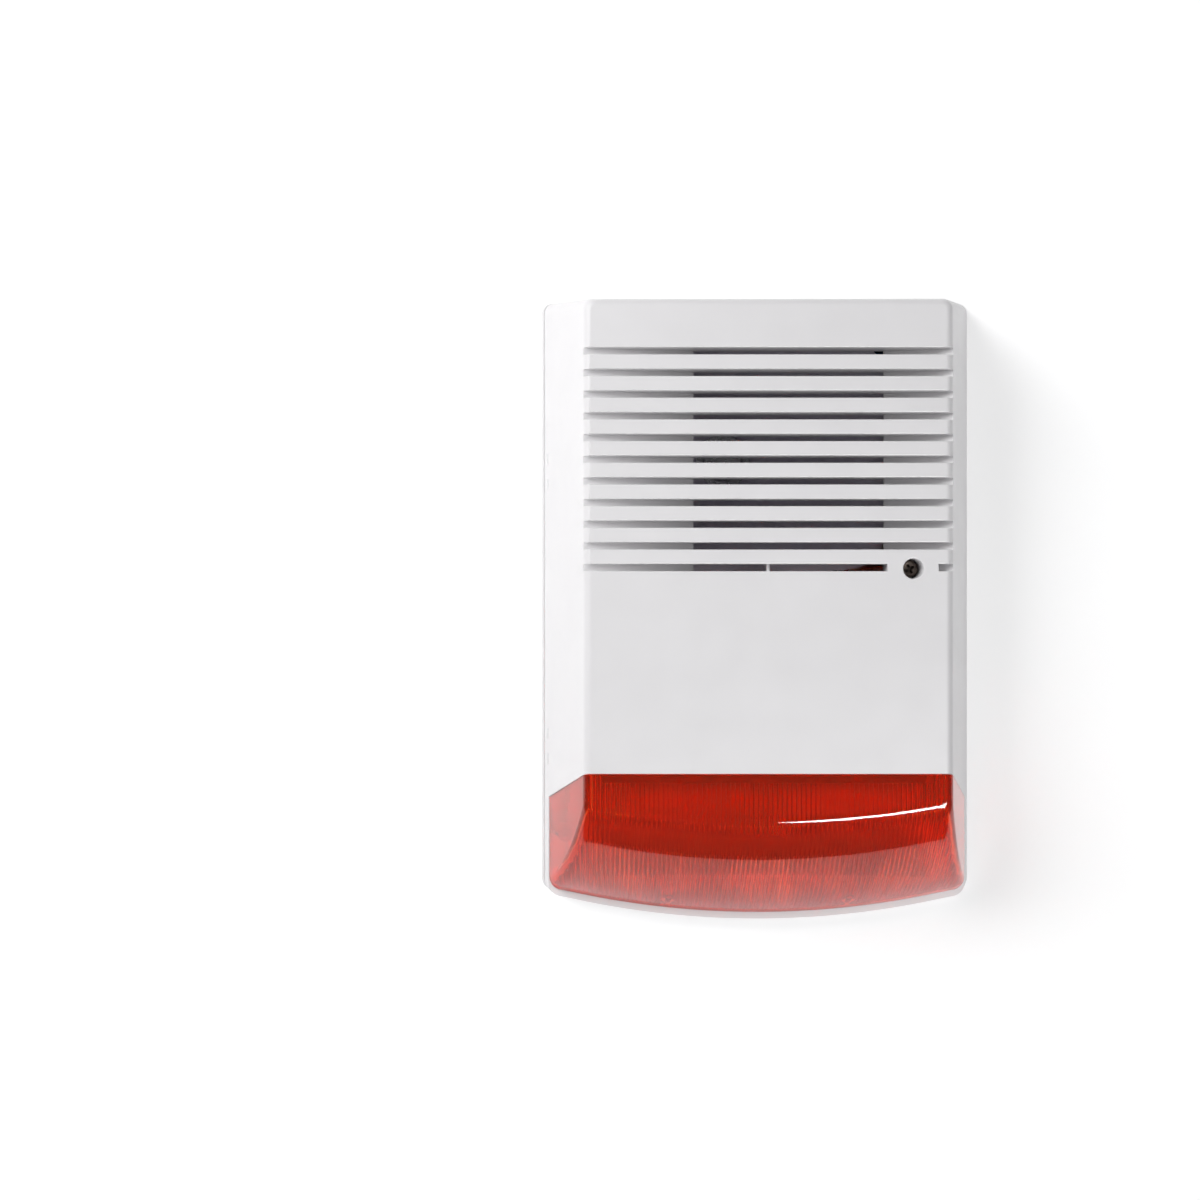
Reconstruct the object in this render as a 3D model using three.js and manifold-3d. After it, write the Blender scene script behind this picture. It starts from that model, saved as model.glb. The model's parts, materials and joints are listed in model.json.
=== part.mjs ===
// Outdoor alarm siren: white wall case with louvres, a red beacon lens, and the parts inside it.
// Millimetres. The wall is the plane y = 0, the front faces -Y, +Z is up, and the origin is the
// centre of the back face.
import * as THREE from "three";
import { mergeVertices } from "three/addons/utils/BufferGeometryUtils.js";
import Module from "manifold-3d";

const wasm = await Module();
wasm.setup();

// ---------------------------------------------------------------- driving dimensions

const DEPTH = 65; // wall to front face
const BACK_HALF_WIDTH = 97.5;
const FRONT_HALF_WIDTH = 77.1;
const BACK_TOP = 140;
const FRONT_TOP = 130.6;
const WALL = 2.5; // moulding thickness
const GAP = 0.3; // between pieces that rest on each other
const EDGE_FILLET = 2.6; // rounding of the front edges

const BOTTOM_ARC = 390; // sweep of the lower edge, seen from the front
const RIM_BOTTOM = -140; // lowest point of the case
const TOP_CORNER = 4.6;
const BOTTOM_CORNER = 6;
const CORNER_TURN = 77; // degrees that a lower corner turns before it meets the swept edge

const PLATE = 2.2; // base plate thickness
const BEAD_HEIGHT = 3.0; // raised edge of the base plate
const BEAD_WIDTH = 1.4;
const COVER_REAR = 3.3; // where the cover starts, measured from the wall
const HINGE_SIDE_REAR = 5.1; // the same on the hinge side, clear of the plate when it swings
const WEIR_INSET = 12; // rain wall of the base plate
const WEIR_WIDTH = 2;
const WEIR_HEIGHT = 9;
const WEIR_LOW_HEIGHT = 5; // its height behind the lens
const WEIR_STEP = -88; // where it steps down

const SEAM_FRONT = -68.8; // lens seam on the front face
const SEAM_DROP = 16; // how much lower the seam is at the rim
const LEDGE_FRONT = 11; // front of the ledge that the lens sits on
const LEDGE_BACK = 8.5;
const LEDGE_INSET = 6;
const LENS_REAR = 12.3;
const LENS_ARC = 120; // radius of the lens's convex underside
const LENS_ARC_Y = 36.88; // centre of that arc
const LENS_ARC_Z = -27.19;
const GASKET_FRONT = 12;
const GASKET_REAR = 11.3;

const SLOTS = 11;
const SLOT_TOP = 108.7; // middle of the highest louvre slot
const SLOT_PITCH = 9.1;
const SLOT_HEIGHT = 3;
const SLOT_HALF_LENGTH = 77.9;
const SLOT_BRIDGE = [49.9, 71.2]; // solid stretch of the lowest slot, round the screw
const SLOT_OPEN = [-31, 50]; // the slots go right through between these, and ramp out beyond
const SLOT_LINE = [
  [-SLOT_HALF_LENGTH, 2.4],
  [SLOT_OPEN[0], 10.8],
  [SLOT_OPEN[1], 10.8],
  [72, 6.9],
  [SLOT_HALF_LENGTH, 2.4],
]; // x and depth along the slots' floor
const SLOT_FLOOR = 1.5; // moulding behind the ramps
const WEB_WIDTH = 1.2;
const WEB_DEPTH = 3; // how far the web of the lowest slot is set back

const SCREW_X = 60.7;
const SCREW_Z = 17.3;
const SCREW_HOLE_RADIUS = 4.25;
const SCREW_RADIUS = 2;
const SCREW_HEAD_RADIUS = 3.8;
const SCREW_SEAT = 52; // floor of the screw well
const SCREW_TIP = 44.7;
const BOSS_FRONT = 47.7;
const WELL_RADIUS = 6.5;
const INSERT_LENGTH = 8;

const HINGE_X = -91.4;
const HINGE_Y = -8;
const HINGE_PIN_RADIUS = 0.9;
const HINGE_BORE_RADIUS = 0.96;
const HINGE_EAR_RADIUS = 2;
const HINGE_HEIGHTS = [62, -62];
const HINGE_EAR = 6; // width of the base's ear along the pin
const HINGE_LUG = 5; // width of each cover lug along the pin

const HORN_X = -16;
const HORN_Z = 66;
const HORN_FLANGE_HALF = 32;
const HORN_SCREW_OFFSET = 27;
const HORN_FLANGE_BACK = 20;
const HORN_FLANGE_FRONT = 22.5;
const HORN_MOUTH = 50;
const HORN_MOUTH_HALF_WIDTH = 57;
const HORN_MOUTH_SHIFT = 9; // the mouth reaches further over the battery than the other way
const HORN_MOUTH_HALF_HEIGHT = 48;
const HORN_THROAT_RADIUS = 12;

const CELL_RADIUS = 7.2;
const CELL_LENGTH = 50.5;
const CELLS = 6;
const BATTERY_LEFT = 24;
const BATTERY_BOTTOM = 33;
const BATTERY_BACK = 2.6;
const CLAMP_Z = 76;
const CLAMP_POSTS = [20, 79];
const CLAMP_BACK = 17.6;

const BOARD = { left: -70, right: 40, bottom: -58, top: 2, back: 8.3, front: 9.9 };
const BOARD_HOLES = [
  [-66, -54],
  [36, -54],
  [-66, -2],
  [36, -2],
];
const ON_BOARD = BOARD.front + GAP; // where the parts on the board start
const TERMINAL = { left: -60, pitch: 5.08, ways: 4, bottom: -57, top: -46, front: 20 };
const TERMINAL_SCREW_RADIUS = 1.8;
const BATTERY_HEADER = [15, -8, 7.6]; // left, bottom and width of the pin headers
const SIREN_HEADER = [-34, -8, 7.6];
const STROBE_HEADER = [-8, -8, 7.6];
const HEADER_HEIGHT = 6;
const HEADER_WALL = 0.8;
const HEADER_FRONT = 18;
const PIN_HALF = 0.32;
const PIN_OFFSET = 1.27; // half the pin pitch
const RELAY = { left: -30, right: -11, bottom: -56, top: -41, front: 25, lid: 25.6 };
const CAPACITOR = { x: 2, z: -47, radius: 6.2, front: 30, groove: 12.6 };
const COIL = { x: 22, z: -44, radius: 8, winding: 6.4, front: 22, core: 2.4 };
const CHIP = { left: -52, right: -29, bottom: -27.2, top: -20.8, back: 11, front: 14.2 };
const CHIP_LEGS = 9;
const LEG_PITCH = 2.54;
const TRANSISTOR = { left: -13, right: -3, bottom: -20, tab: -15.5, front: 19, tabFront: 25.5 };
const SMALL_HOLE = 1.8; // clearance hole of the small screws
const SMALL_SHANK = 1.1;
const SMALL_HEAD = 3;
const SMALL_HEAD_HEIGHT = 2;
const SMALL_PILOT = 1.2;

const TAMPER_X = 28;
const TAMPER_Z = -22;
const TAMPER_BODY_FRONT = 17.6;
const PLUNGER_FRONT = 29;
const PLUNGER_HEAD = 3;

const STROBE_Z = -96;
const STROBE_SCREW_X = 50;
const LED_SPACING = 30;
const STROBE_BOARD_BACK = 11;
const STROBE_BOARD_FRONT = 12.6;
const REFLECTOR_BACK = 14.2;
const REFLECTOR_THICKNESS = 1.2;

const LENS_SCREWS = [
  [-84.5, -100],
  [84.5, -100],
  [-40, -126.5],
  [40, -126.5],
];

const CABLE_X = 62;
const CABLE_Z = -30;
const CABLE_HOLE = 10;
const WALL_HOLES = [
  [-66, 120],
  [66, 120],
  [-66, -68],
  [66, -68],
];

// ---------------------------------------------------------------- materials

function finish(color, roughness, metalness = 0, opacity = 1) {
  return new THREE.MeshStandardMaterial({
    color,
    roughness,
    metalness,
    opacity,
    transparent: opacity < 1,
  });
}

const WHITE_ABS = finish(0xe6e4e6, 0.45);
const RED_LENS = finish(0xc01a0a, 0.15, 0, 0.7);
const DARK_STEEL = finish(0x4a453f, 0.4, 0.9);
const BRIGHT_STEEL = finish(0xb8b8ba, 0.3, 1);
const BRASS = finish(0xb88d3e, 0.3, 1);
const RUBBER = finish(0x1c1c1e, 0.8);
const NYLON = finish(0xd9d6cc, 0.5);
const BOARD_GREEN = finish(0x1f5a32, 0.5);
const TERMINAL_GREEN = finish(0x2f8f4a, 0.45);
const BLACK_PLASTIC = finish(0x1a1a1c, 0.5);
const GREY_PLASTIC = finish(0x8b8b90, 0.5);
const COPPER = finish(0xa65a2a, 0.35, 0.9);
const CAPACITOR_SLEEVE = finish(0x20263a, 0.4);
const BATTERY_WRAP = finish(0x2b5c9a, 0.35);
const REFLECTOR_METAL = finish(0xd8d8da, 0.12, 1);
const CLEAR_RESIN = finish(0xe8e2da, 0.08, 0, 0.6);
const SILICONE = finish(0xb9b9bb, 0.6);
const RED_LEAD = finish(0xb01818, 0.5);
const BLACK_LEAD = finish(0x161616, 0.5);

// ---------------------------------------------------------------- solids

// A closed three.js geometry as a manifold-3d solid.
function solid(geometry) {
  const bare = new THREE.BufferGeometry();
  const source = geometry.index ? geometry.toNonIndexed() : geometry;
  bare.setAttribute("position", source.getAttribute("position"));
  const merged = mergeVertices(bare, 1e-4);
  return new wasm.Manifold(
    new wasm.Mesh({
      numProp: 3,
      vertProperties: merged.attributes.position.array,
      triVerts: new Uint32Array(merged.index.array),
    }),
  );
}

// A manifold-3d solid as a flat-shaded three.js geometry.
function geometryOf(body) {
  const { vertProperties, triVerts, numProp } = body.getMesh();
  const points = new Float32Array(triVerts.length * 3);
  triVerts.forEach((v, i) => {
    for (let k = 0; k < 3; k += 1) points[i * 3 + k] = vertProperties[v * numProp + k];
  });
  const geometry = new THREE.BufferGeometry();
  geometry.setAttribute("position", new THREE.BufferAttribute(points, 3));
  geometry.computeVertexNormals();
  return geometry;
}

function union(bodies) {
  return bodies.reduce((sum, body) => sum.add(body));
}

function box([x0, x1], [y0, y1], [z0, z1]) {
  const geometry = new THREE.BoxGeometry(x1 - x0, y1 - y0, z1 - z0);
  geometry.translate((x0 + x1) / 2, (y0 + y1) / 2, (z0 + z1) / 2);
  return solid(geometry);
}

// A round bar whose axis runs from the wall to the front, between two depths.
function post(x, z, back, front, radius, sides = 16) {
  const geometry = new THREE.CylinderGeometry(radius, radius, front - back, sides);
  geometry.translate(x, -(front + back) / 2, z);
  return solid(geometry);
}

// A round bar standing along Z.
function upright(x, y, [z0, z1], radius, sides = 16) {
  const geometry = new THREE.CylinderGeometry(radius, radius, z1 - z0, sides);
  geometry.rotateX(Math.PI / 2);
  geometry.translate(x, y, (z0 + z1) / 2);
  return solid(geometry);
}

// A turned shape round an axis that runs from the wall to the front: [radius, depth] points,
// starting at the wall end.
function turned(x, z, profile, sides = 16) {
  const points = profile.map(([radius, depth]) => new THREE.Vector2(radius, -depth)).reverse();
  const geometry = new THREE.LatheGeometry(points, sides);
  geometry.translate(x, 0, z);
  return solid(geometry);
}

// A ring turned round the same kind of axis: [radius, depth] points of its closed section, in
// order round the section.
function ring(x, z, section, sides = 24) {
  const points = [...section, section[0]].map(([radius, depth]) => {
    return new THREE.Vector2(radius, -depth);
  });
  const geometry = new THREE.LatheGeometry(points, sides);
  geometry.translate(x, 0, z);
  const body = solid(geometry);
  return body.volume() > 0 ? body : ring(x, z, [...section].reverse(), sides);
}

// A skin through outlines of equal point count, closed by a cap at each end. The outlines run
// clockwise as seen from the front, and the first one is nearest the wall.
function loft(sections) {
  const count = sections[0].length;
  const points = sections.flat();
  const faces = [];
  for (let s = 0; s + 1 < sections.length; s += 1) {
    for (let i = 0; i < count; i += 1) {
      const a = s * count + i;
      const b = s * count + ((i + 1) % count);
      faces.push(a, b + count, b, a, a + count, b + count);
    }
  }
  for (const start of [0, (sections.length - 1) * count]) {
    const flat = sections[start / count].map(([x, , z]) => new THREE.Vector2(x, z));
    for (const [a, b, c] of THREE.ShapeUtils.triangulateShape(flat, [])) {
      const facesFront = THREE.ShapeUtils.area([flat[a], flat[b], flat[c]]) > 0;
      const face = facesFront === start > 0 ? [a, b, c] : [c, b, a];
      faces.push(...face.map((v) => v + start));
    }
  }
  const geometry = new THREE.BufferGeometry();
  geometry.setAttribute("position", new THREE.Float32BufferAttribute(points.flat(), 3));
  geometry.setIndex(faces);
  return solid(geometry);
}

// A bar along X with a polygon section of [y, z] points.
function prism(section, [x0, x1]) {
  const shape = new THREE.Shape(section.map(([y, z]) => new THREE.Vector2(y, z)));
  const geometry = new THREE.ExtrudeGeometry(shape, { depth: x1 - x0, bevelEnabled: false });
  // The shape's x, y and depth become the part's y, z and x.
  geometry.applyMatrix4(new THREE.Matrix4().set(0, 0, 1, x0, 1, 0, 0, 0, 0, 1, 0, 0, 0, 0, 0, 1));
  return solid(geometry);
}

// A bar along Z with a polygon section of [x, y] points.
function column(section, [z0, z1]) {
  const shape = new THREE.Shape(section.map(([x, y]) => new THREE.Vector2(x, y)));
  const geometry = new THREE.ExtrudeGeometry(shape, { depth: z1 - z0, bevelEnabled: false });
  geometry.translate(0, 0, z0);
  return solid(geometry);
}

// A round wire along a smooth curve through the given points.
function wire(points, radius, steps = 20) {
  const sides = 8;
  const shape = new THREE.Shape();
  for (let i = 0; i < sides; i += 1) {
    const angle = (2 * Math.PI * i) / sides;
    const place = [radius * Math.cos(angle), radius * Math.sin(angle)];
    if (i) shape.lineTo(...place);
    else shape.moveTo(...place);
  }
  const path = new THREE.CatmullRomCurve3(points.map((p) => new THREE.Vector3(...p)));
  return solid(
    new THREE.ExtrudeGeometry(shape, { steps, extrudePath: path, bevelEnabled: false }),
  );
}

// ---------------------------------------------------------------- the case's outer form

function halfWidth(depth) {
  return BACK_HALF_WIDTH + ((FRONT_HALF_WIDTH - BACK_HALF_WIDTH) * depth) / DEPTH;
}

function topAt(depth) {
  return BACK_TOP + ((FRONT_TOP - BACK_TOP) * depth) / DEPTH;
}

// Height of the seam between cover and lens at a depth.
function seamAt(depth) {
  const run = DEPTH - LEDGE_FRONT;
  return SEAM_FRONT - (SEAM_DROP * (DEPTH - depth)) / run;
}

// Lowest point of the lens at a depth: a convex arc from the front edge to the rim.
function lensBottom(depth) {
  return LENS_ARC_Z - Math.sqrt(LENS_ARC ** 2 - (depth + LENS_ARC_Y) ** 2);
}

// Points of a quarter round, from one angle to the next, both in degrees.
function corner(x, z, radius, from, to, steps = 3) {
  const points = [];
  for (let i = 0; i <= steps; i += 1) {
    const angle = THREE.MathUtils.degToRad(from + ((to - from) * i) / steps);
    points.push([x + radius * Math.cos(angle), z + radius * Math.sin(angle)]);
  }
  return points;
}

// The case's outline at a depth: straight sides, rounded corners, and a swept bottom. It is
// set in from the outer skin by inset, and runs clockwise as seen from the front.
function caseOutline(depth, inset, bottom = RIM_BOTTOM) {
  const half = halfWidth(depth) - inset;
  const top = topAt(depth) - inset;
  const low = bottom + inset;
  const arc = BOTTOM_ARC - inset;
  const sweep = (x) => low + arc - Math.sqrt(arc ** 2 - x ** 2);
  const topRadius = Math.max(TOP_CORNER - inset, 1);
  const lowRadius = Math.max(BOTTOM_CORNER - inset, 1);
  const steps = 12;
  const reach = half - lowRadius;
  const points = corner(-half + topRadius, top - topRadius, topRadius, 180, 90);
  points.push(...corner(half - topRadius, top - topRadius, topRadius, 90, 0));
  points.push(...corner(reach, sweep(reach) + lowRadius, lowRadius, 0, -CORNER_TURN));
  for (let i = 1; i < steps; i += 1) {
    const x = reach - (2 * reach * i) / steps;
    points.push([x, sweep(x)]);
  }
  points.push(...corner(-reach, sweep(reach) + lowRadius, lowRadius, CORNER_TURN - 180, -180));
  return points.map(([x, z]) => [x, -depth, z]);
}

// The lens's outline at a depth, cut square at the top.
function lensOutline(depth, inset, top, lift = 0) {
  const half = halfWidth(depth) - inset;
  const low = lensBottom(depth) + inset * 1.25 + lift;
  const sweep = (x) => low + BOTTOM_ARC - Math.sqrt(BOTTOM_ARC ** 2 - x ** 2);
  const radius = Math.max(BOTTOM_CORNER - inset, 1);
  const reach = half - radius;
  const steps = 12;
  const points = [
    [-half, top],
    [half, top],
    ...corner(reach, sweep(reach) + radius, radius, 0, -CORNER_TURN),
  ];
  for (let i = 1; i < steps; i += 1) {
    const x = reach - (2 * reach * i) / steps;
    points.push([x, sweep(x)]);
  }
  points.push(...corner(-reach, sweep(reach) + radius, radius, CORNER_TURN - 180, -180));
  return points.map(([x, z]) => [x, -depth, z]);
}

// Solid of the case between two depths.
function caseBlock(back, front, inset) {
  return loft([caseOutline(back, inset), caseOutline(front, inset)]);
}

// Everything above a plane that runs parallel to the seam, offset from it.
function aboveSeam(offset) {
  const back = COVER_REAR - 1;
  const front = DEPTH + 1;
  return prism(
    [
      [-back, seamAt(back) + offset],
      [-back, BACK_TOP + 5],
      [-front, BACK_TOP + 5],
      [-front, seamAt(front) + offset],
    ].reverse(),
    [-110, 110],
  );
}

// ---------------------------------------------------------------- front cover

function coverShell() {
  const front = DEPTH;
  const block = loft([
    caseOutline(COVER_REAR, 0),
    caseOutline(front - EDGE_FILLET, 0),
    caseOutline(front - EDGE_FILLET * 0.3, EDGE_FILLET * 0.3),
    caseOutline(front, EDGE_FILLET),
  ]);
  const lensSpace = prism(
    [
      [-LEDGE_FRONT, seamAt(LEDGE_FRONT)],
      [-DEPTH - 1, seamAt(DEPTH + 1)],
      [-DEPTH - 1, RIM_BOTTOM - 5],
      [-LEDGE_FRONT, RIM_BOTTOM - 5],
    ],
    [-110, 110],
  );
  const rimHollow = caseBlock(COVER_REAR - 1, LEDGE_BACK, WALL);
  const upperHollow = caseBlock(LEDGE_BACK - 0.5, DEPTH - WALL, WALL).intersect(aboveSeam(-1));
  const ledgeOpening = caseBlock(LEDGE_BACK - 0.5, LEDGE_FRONT + 0.5, LEDGE_INSET);
  const hingeRelief = box([-110, HINGE_X + 1], [-HINGE_SIDE_REAR, 1], [-150, 150]);
  return block
    .subtract(lensSpace)
    .subtract(rimHollow)
    .subtract(upperHollow)
    .subtract(ledgeOpening)
    .subtract(hingeRelief);
}

// Depth of the slots' ramps below the front face.
function slotFloor(x) {
  const next = Math.max(1, SLOT_LINE.findIndex(([place]) => place >= x));
  const [from, start] = SLOT_LINE[next - 1];
  const [to, end] = SLOT_LINE[next];
  return start + ((end - start) * (x - from)) / (to - from);
}

// Points of the slots' floor line from one place to another, moved back by an offset.
function floorLine(from, to, offset) {
  const stops = SLOT_LINE.map(([x]) => x).filter((x) => x > from && x < to);
  return [from, ...stops, to].map((x) => [x, -DEPTH + slotFloor(x) + offset]);
}

// The thickened back of the louvre field: deep fins in the middle, thinner towards the sides.
function louvreBlock() {
  const half = SLOT_HALF_LENGTH - 1.4;
  const front = -DEPTH + WALL - 0.4;
  const margin = SLOT_HEIGHT / 2 + 2.2;
  const low = SLOT_TOP - SLOT_PITCH * (SLOTS - 1) - margin;
  const outline = [[-half, front], ...floorLine(-half, half, SLOT_FLOOR), [half, front]];
  return column(outline.reverse(), [low, SLOT_TOP + margin]);
}

// One louvre slot between two places: open in the middle, with ramps that run out at the ends.
function louvreSlot(from, to, z) {
  const through = -DEPTH + slotFloor(0) + SLOT_FLOOR + 1;
  const left = Math.max(from, SLOT_OPEN[0]);
  const right = Math.min(to, SLOT_OPEN[1]);
  const back = [];
  if (from < left) back.push(...floorLine(from, left, 0));
  if (left < right) back.push([left, through], [right, through]);
  if (to > right) back.push(...floorLine(Math.max(from, right), to, 0));
  const outline = [[to, -DEPTH - 1], ...back.reverse(), [from, -DEPTH - 1]];
  return column(outline, [z - SLOT_HEIGHT / 2, z + SLOT_HEIGHT / 2]);
}

function louvreSlots() {
  const slots = [];
  for (let i = 0; i + 1 < SLOTS; i += 1) {
    slots.push(louvreSlot(-SLOT_HALF_LENGTH, SLOT_HALF_LENGTH, SLOT_TOP - SLOT_PITCH * i));
  }
  const lowest = SLOT_TOP - SLOT_PITCH * (SLOTS - 1);
  slots.push(louvreSlot(-SLOT_HALF_LENGTH, -WEB_WIDTH / 2, lowest));
  slots.push(louvreSlot(WEB_WIDTH / 2, SLOT_BRIDGE[0], lowest));
  slots.push(louvreSlot(SLOT_BRIDGE[1], SLOT_HALF_LENGTH, lowest));
  const overWeb = [-DEPTH - 1, -DEPTH + WEB_DEPTH];
  const height = [lowest - SLOT_HEIGHT / 2, lowest + SLOT_HEIGHT / 2];
  slots.push(box([-WEB_WIDTH, WEB_WIDTH], overWeb, height));
  return union(slots);
}

// The knuckles on the cover at one hinge: a lug above and one below the base's ear.
function coverLugs(z) {
  const lugs = [];
  for (const side of [1, -1]) {
    const near = z + side * (HINGE_EAR / 2 + GAP);
    const far = near + side * HINGE_LUG;
    const height = [Math.min(near, far), Math.max(near, far)];
    lugs.push(upright(HINGE_X, HINGE_Y, height, 2.2));
    lugs.push(box([HINGE_X - 3.2, HINGE_X], [HINGE_Y - 2.2, HINGE_Y + 2.1], height));
  }
  return union(lugs);
}

function frontCover() {
  const reach = HINGE_EAR / 2 + GAP + HINGE_LUG + 1;
  const lugs = HINGE_HEIGHTS.map(coverLugs);
  const bores = HINGE_HEIGHTS.map((z) => {
    return upright(HINGE_X, HINGE_Y, [z - reach, z + reach], HINGE_BORE_RADIUS);
  });
  const pockets = HINGE_HEIGHTS.map((z) => {
    const half = HINGE_EAR / 2 + GAP;
    return upright(HINGE_X, HINGE_Y, [z - half, z + half], HINGE_EAR_RADIUS + GAP);
  });
  const well = post(SCREW_X, SCREW_Z, BOSS_FRONT + GAP, DEPTH - 1, WELL_RADIUS, 20);
  const tamperPost = post(TAMPER_X, TAMPER_Z, PLUNGER_FRONT + GAP, DEPTH - 1, 3.5);
  const ears = LENS_SCREWS.map(([x, z]) => {
    const outward = Math.abs(x) > 60 ? [x, x + 6 * Math.sign(x)].sort((a, b) => a - b) : null;
    const down = [z - 6, z];
    const tab = outward
      ? box(outward, [-LEDGE_FRONT, -LEDGE_BACK], [z - 3.6, z + 3.6])
      : box([x - 3.6, x + 3.6], [-LEDGE_FRONT, -LEDGE_BACK], down);
    return post(x, z, LEDGE_BACK, LEDGE_FRONT, 3.6).add(tab);
  });
  const shell = coverShell().add(louvreBlock()).subtract(louvreSlots());
  const body = union([shell, ...lugs, well, tamperPost, ...ears]);
  const holes = [
    post(SCREW_X, SCREW_Z, SCREW_SEAT, DEPTH + 1, SCREW_HOLE_RADIUS, 24),
    post(SCREW_X, SCREW_Z, BOSS_FRONT, SCREW_SEAT + 1, SCREW_RADIUS + 0.3),
    ...LENS_SCREWS.map(([x, z]) => post(x, z, LEDGE_BACK - 1, LEDGE_FRONT + 1, 1.8, 12)),
  ];
  return body.subtract(union([...bores, ...pockets, ...holes]));
}

// ---------------------------------------------------------------- beacon lens

function strobeLens() {
  const top = (depth) => seamAt(depth) - GAP;
  const outer = loft([
    lensOutline(LENS_REAR, 0, top(LENS_REAR)),
    lensOutline(24, 0, top(24)),
    lensOutline(36, 0, top(36)),
    lensOutline(48, 0, top(48)),
    lensOutline(58, 0, top(58)),
    lensOutline(62.4, 0, top(62.4), 0.5),
    lensOutline(64.2, EDGE_FILLET * 0.3, top(64.2), 1.2),
    lensOutline(DEPTH, EDGE_FILLET, top(DEPTH), 2),
  ]);
  const inner = loft([
    lensOutline(LENS_REAR - 1, WALL, -60),
    lensOutline(24, WALL, -60),
    lensOutline(36, WALL, -60),
    lensOutline(48, WALL, -60),
    lensOutline(DEPTH - WALL, WALL, -60),
  ]);
  const flange = box([-70, 70], [-DEPTH + WALL + GAP, -DEPTH + WALL + 2.1], [-73, -60]);
  const step = box([-70, 70], [-DEPTH + 1, -DEPTH + WALL + 2.1], [-73, -70]);
  const posts = LENS_SCREWS.map(([x, z]) => {
    const side = Math.abs(x) > 60;
    const outward = [x, x + 9 * Math.sign(x)].sort((a, b) => a - b);
    const rib = side
      ? box(outward, [-24, -LENS_REAR], [z - 0.9, z + 0.9])
      : box([x - 0.9, x + 0.9], [-24, -LENS_REAR], [z - 9, z]);
    return post(x, z, LENS_REAR, 24, 3.2).add(rib);
  });
  const pilots = LENS_SCREWS.map(([x, z]) => post(x, z, LENS_REAR - 1, 22, 1.3, 12));
  return outer
    .subtract(inner)
    .add(union(posts).intersect(outer))
    .add(union([flange, step]))
    .subtract(union(pilots));
}

function lensGasket() {
  const strip = (inset) => {
    return loft([
      lensOutline(GASKET_REAR, inset, -60),
      lensOutline(GASKET_FRONT, inset, -60),
    ]);
  };
  const above = box([-110, 110], [-20, 0], [seamAt(LEDGE_FRONT) - 1.5, 0]);
  const inner = loft([
    lensOutline(GASKET_REAR - 1, 2.3, -55),
    lensOutline(GASKET_FRONT + 1, 2.3, -55),
  ]);
  return strip(0.7).subtract(inner).subtract(above);
}

// A small screw that points at the front, with its head on the back of the ledge.
function lensScrew([x, z]) {
  return turned(x, z, [
    [0, LEDGE_BACK - 2.2],
    [2.6, LEDGE_BACK - 2],
    [2.6, LEDGE_BACK - GAP],
    [1.2, LEDGE_BACK - GAP],
    [1.2, 20],
    [0, 20.8],
  ], 10);
}

// A cross-shaped driver recess between two depths.
function crossRecess(x, z, back, front, reach, width) {
  const half = width / 2;
  const depth = [-front, -back];
  const across = box([x - reach, x + reach], depth, [z - half, z + half]);
  return across.add(box([x - half, x + half], depth, [z - reach, z + reach]));
}

// A small pan-head screw that faces the front.
function smallScrew(x, z, seat, tip) {
  return frontScrew(x, z, seat, tip, SMALL_HEAD, SMALL_SHANK, SMALL_HEAD_HEIGHT);
}

// A screw whose head faces the front, between its seat and its tip.
function frontScrew(x, z, seat, tip, headRadius, shankRadius, headHeight, sides = 10) {
  return turned(x, z, [
    [0, tip],
    [shankRadius, tip + shankRadius * 0.6],
    [shankRadius, seat],
    [headRadius, seat],
    [headRadius, seat + headHeight * 0.6],
    [headRadius * 0.6, seat + headHeight],
    [0, seat + headHeight],
  ], sides);
}

// ---------------------------------------------------------------- base plate

function wallHole([x, z], upper) {
  const depths = [-1, PLATE + 1];
  const through = [-PLATE - 1, 1];
  if (upper) {
    return union([
      post(x, z - 6, ...depths, 4.6),
      post(x, z, ...depths, 2.4),
      box([x - 2.4, x + 2.4], through, [z - 6, z]),
    ]);
  }
  return union([
    post(x - 3, z, ...depths, 2.5),
    post(x + 3, z, ...depths, 2.5),
    box([x - 3, x + 3], through, [z - 2.5, z + 2.5]),
  ]);
}

// The base's ear at one hinge: an arm from the plate that comes to the pin from the right.
function hingeEar(z) {
  const height = [z - HINGE_EAR / 2, z + HINGE_EAR / 2];
  const armBack = HINGE_Y + 1.2;
  return union([
    upright(HINGE_X, HINGE_Y, height, HINGE_EAR_RADIUS),
    box([HINGE_X + 0.5, HINGE_X + 9], [HINGE_Y - 1.9, armBack], height),
    box([HINGE_X + 5.9, HINGE_X + 9], [HINGE_Y - 1.9, -1], height),
  ]);
}

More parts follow.
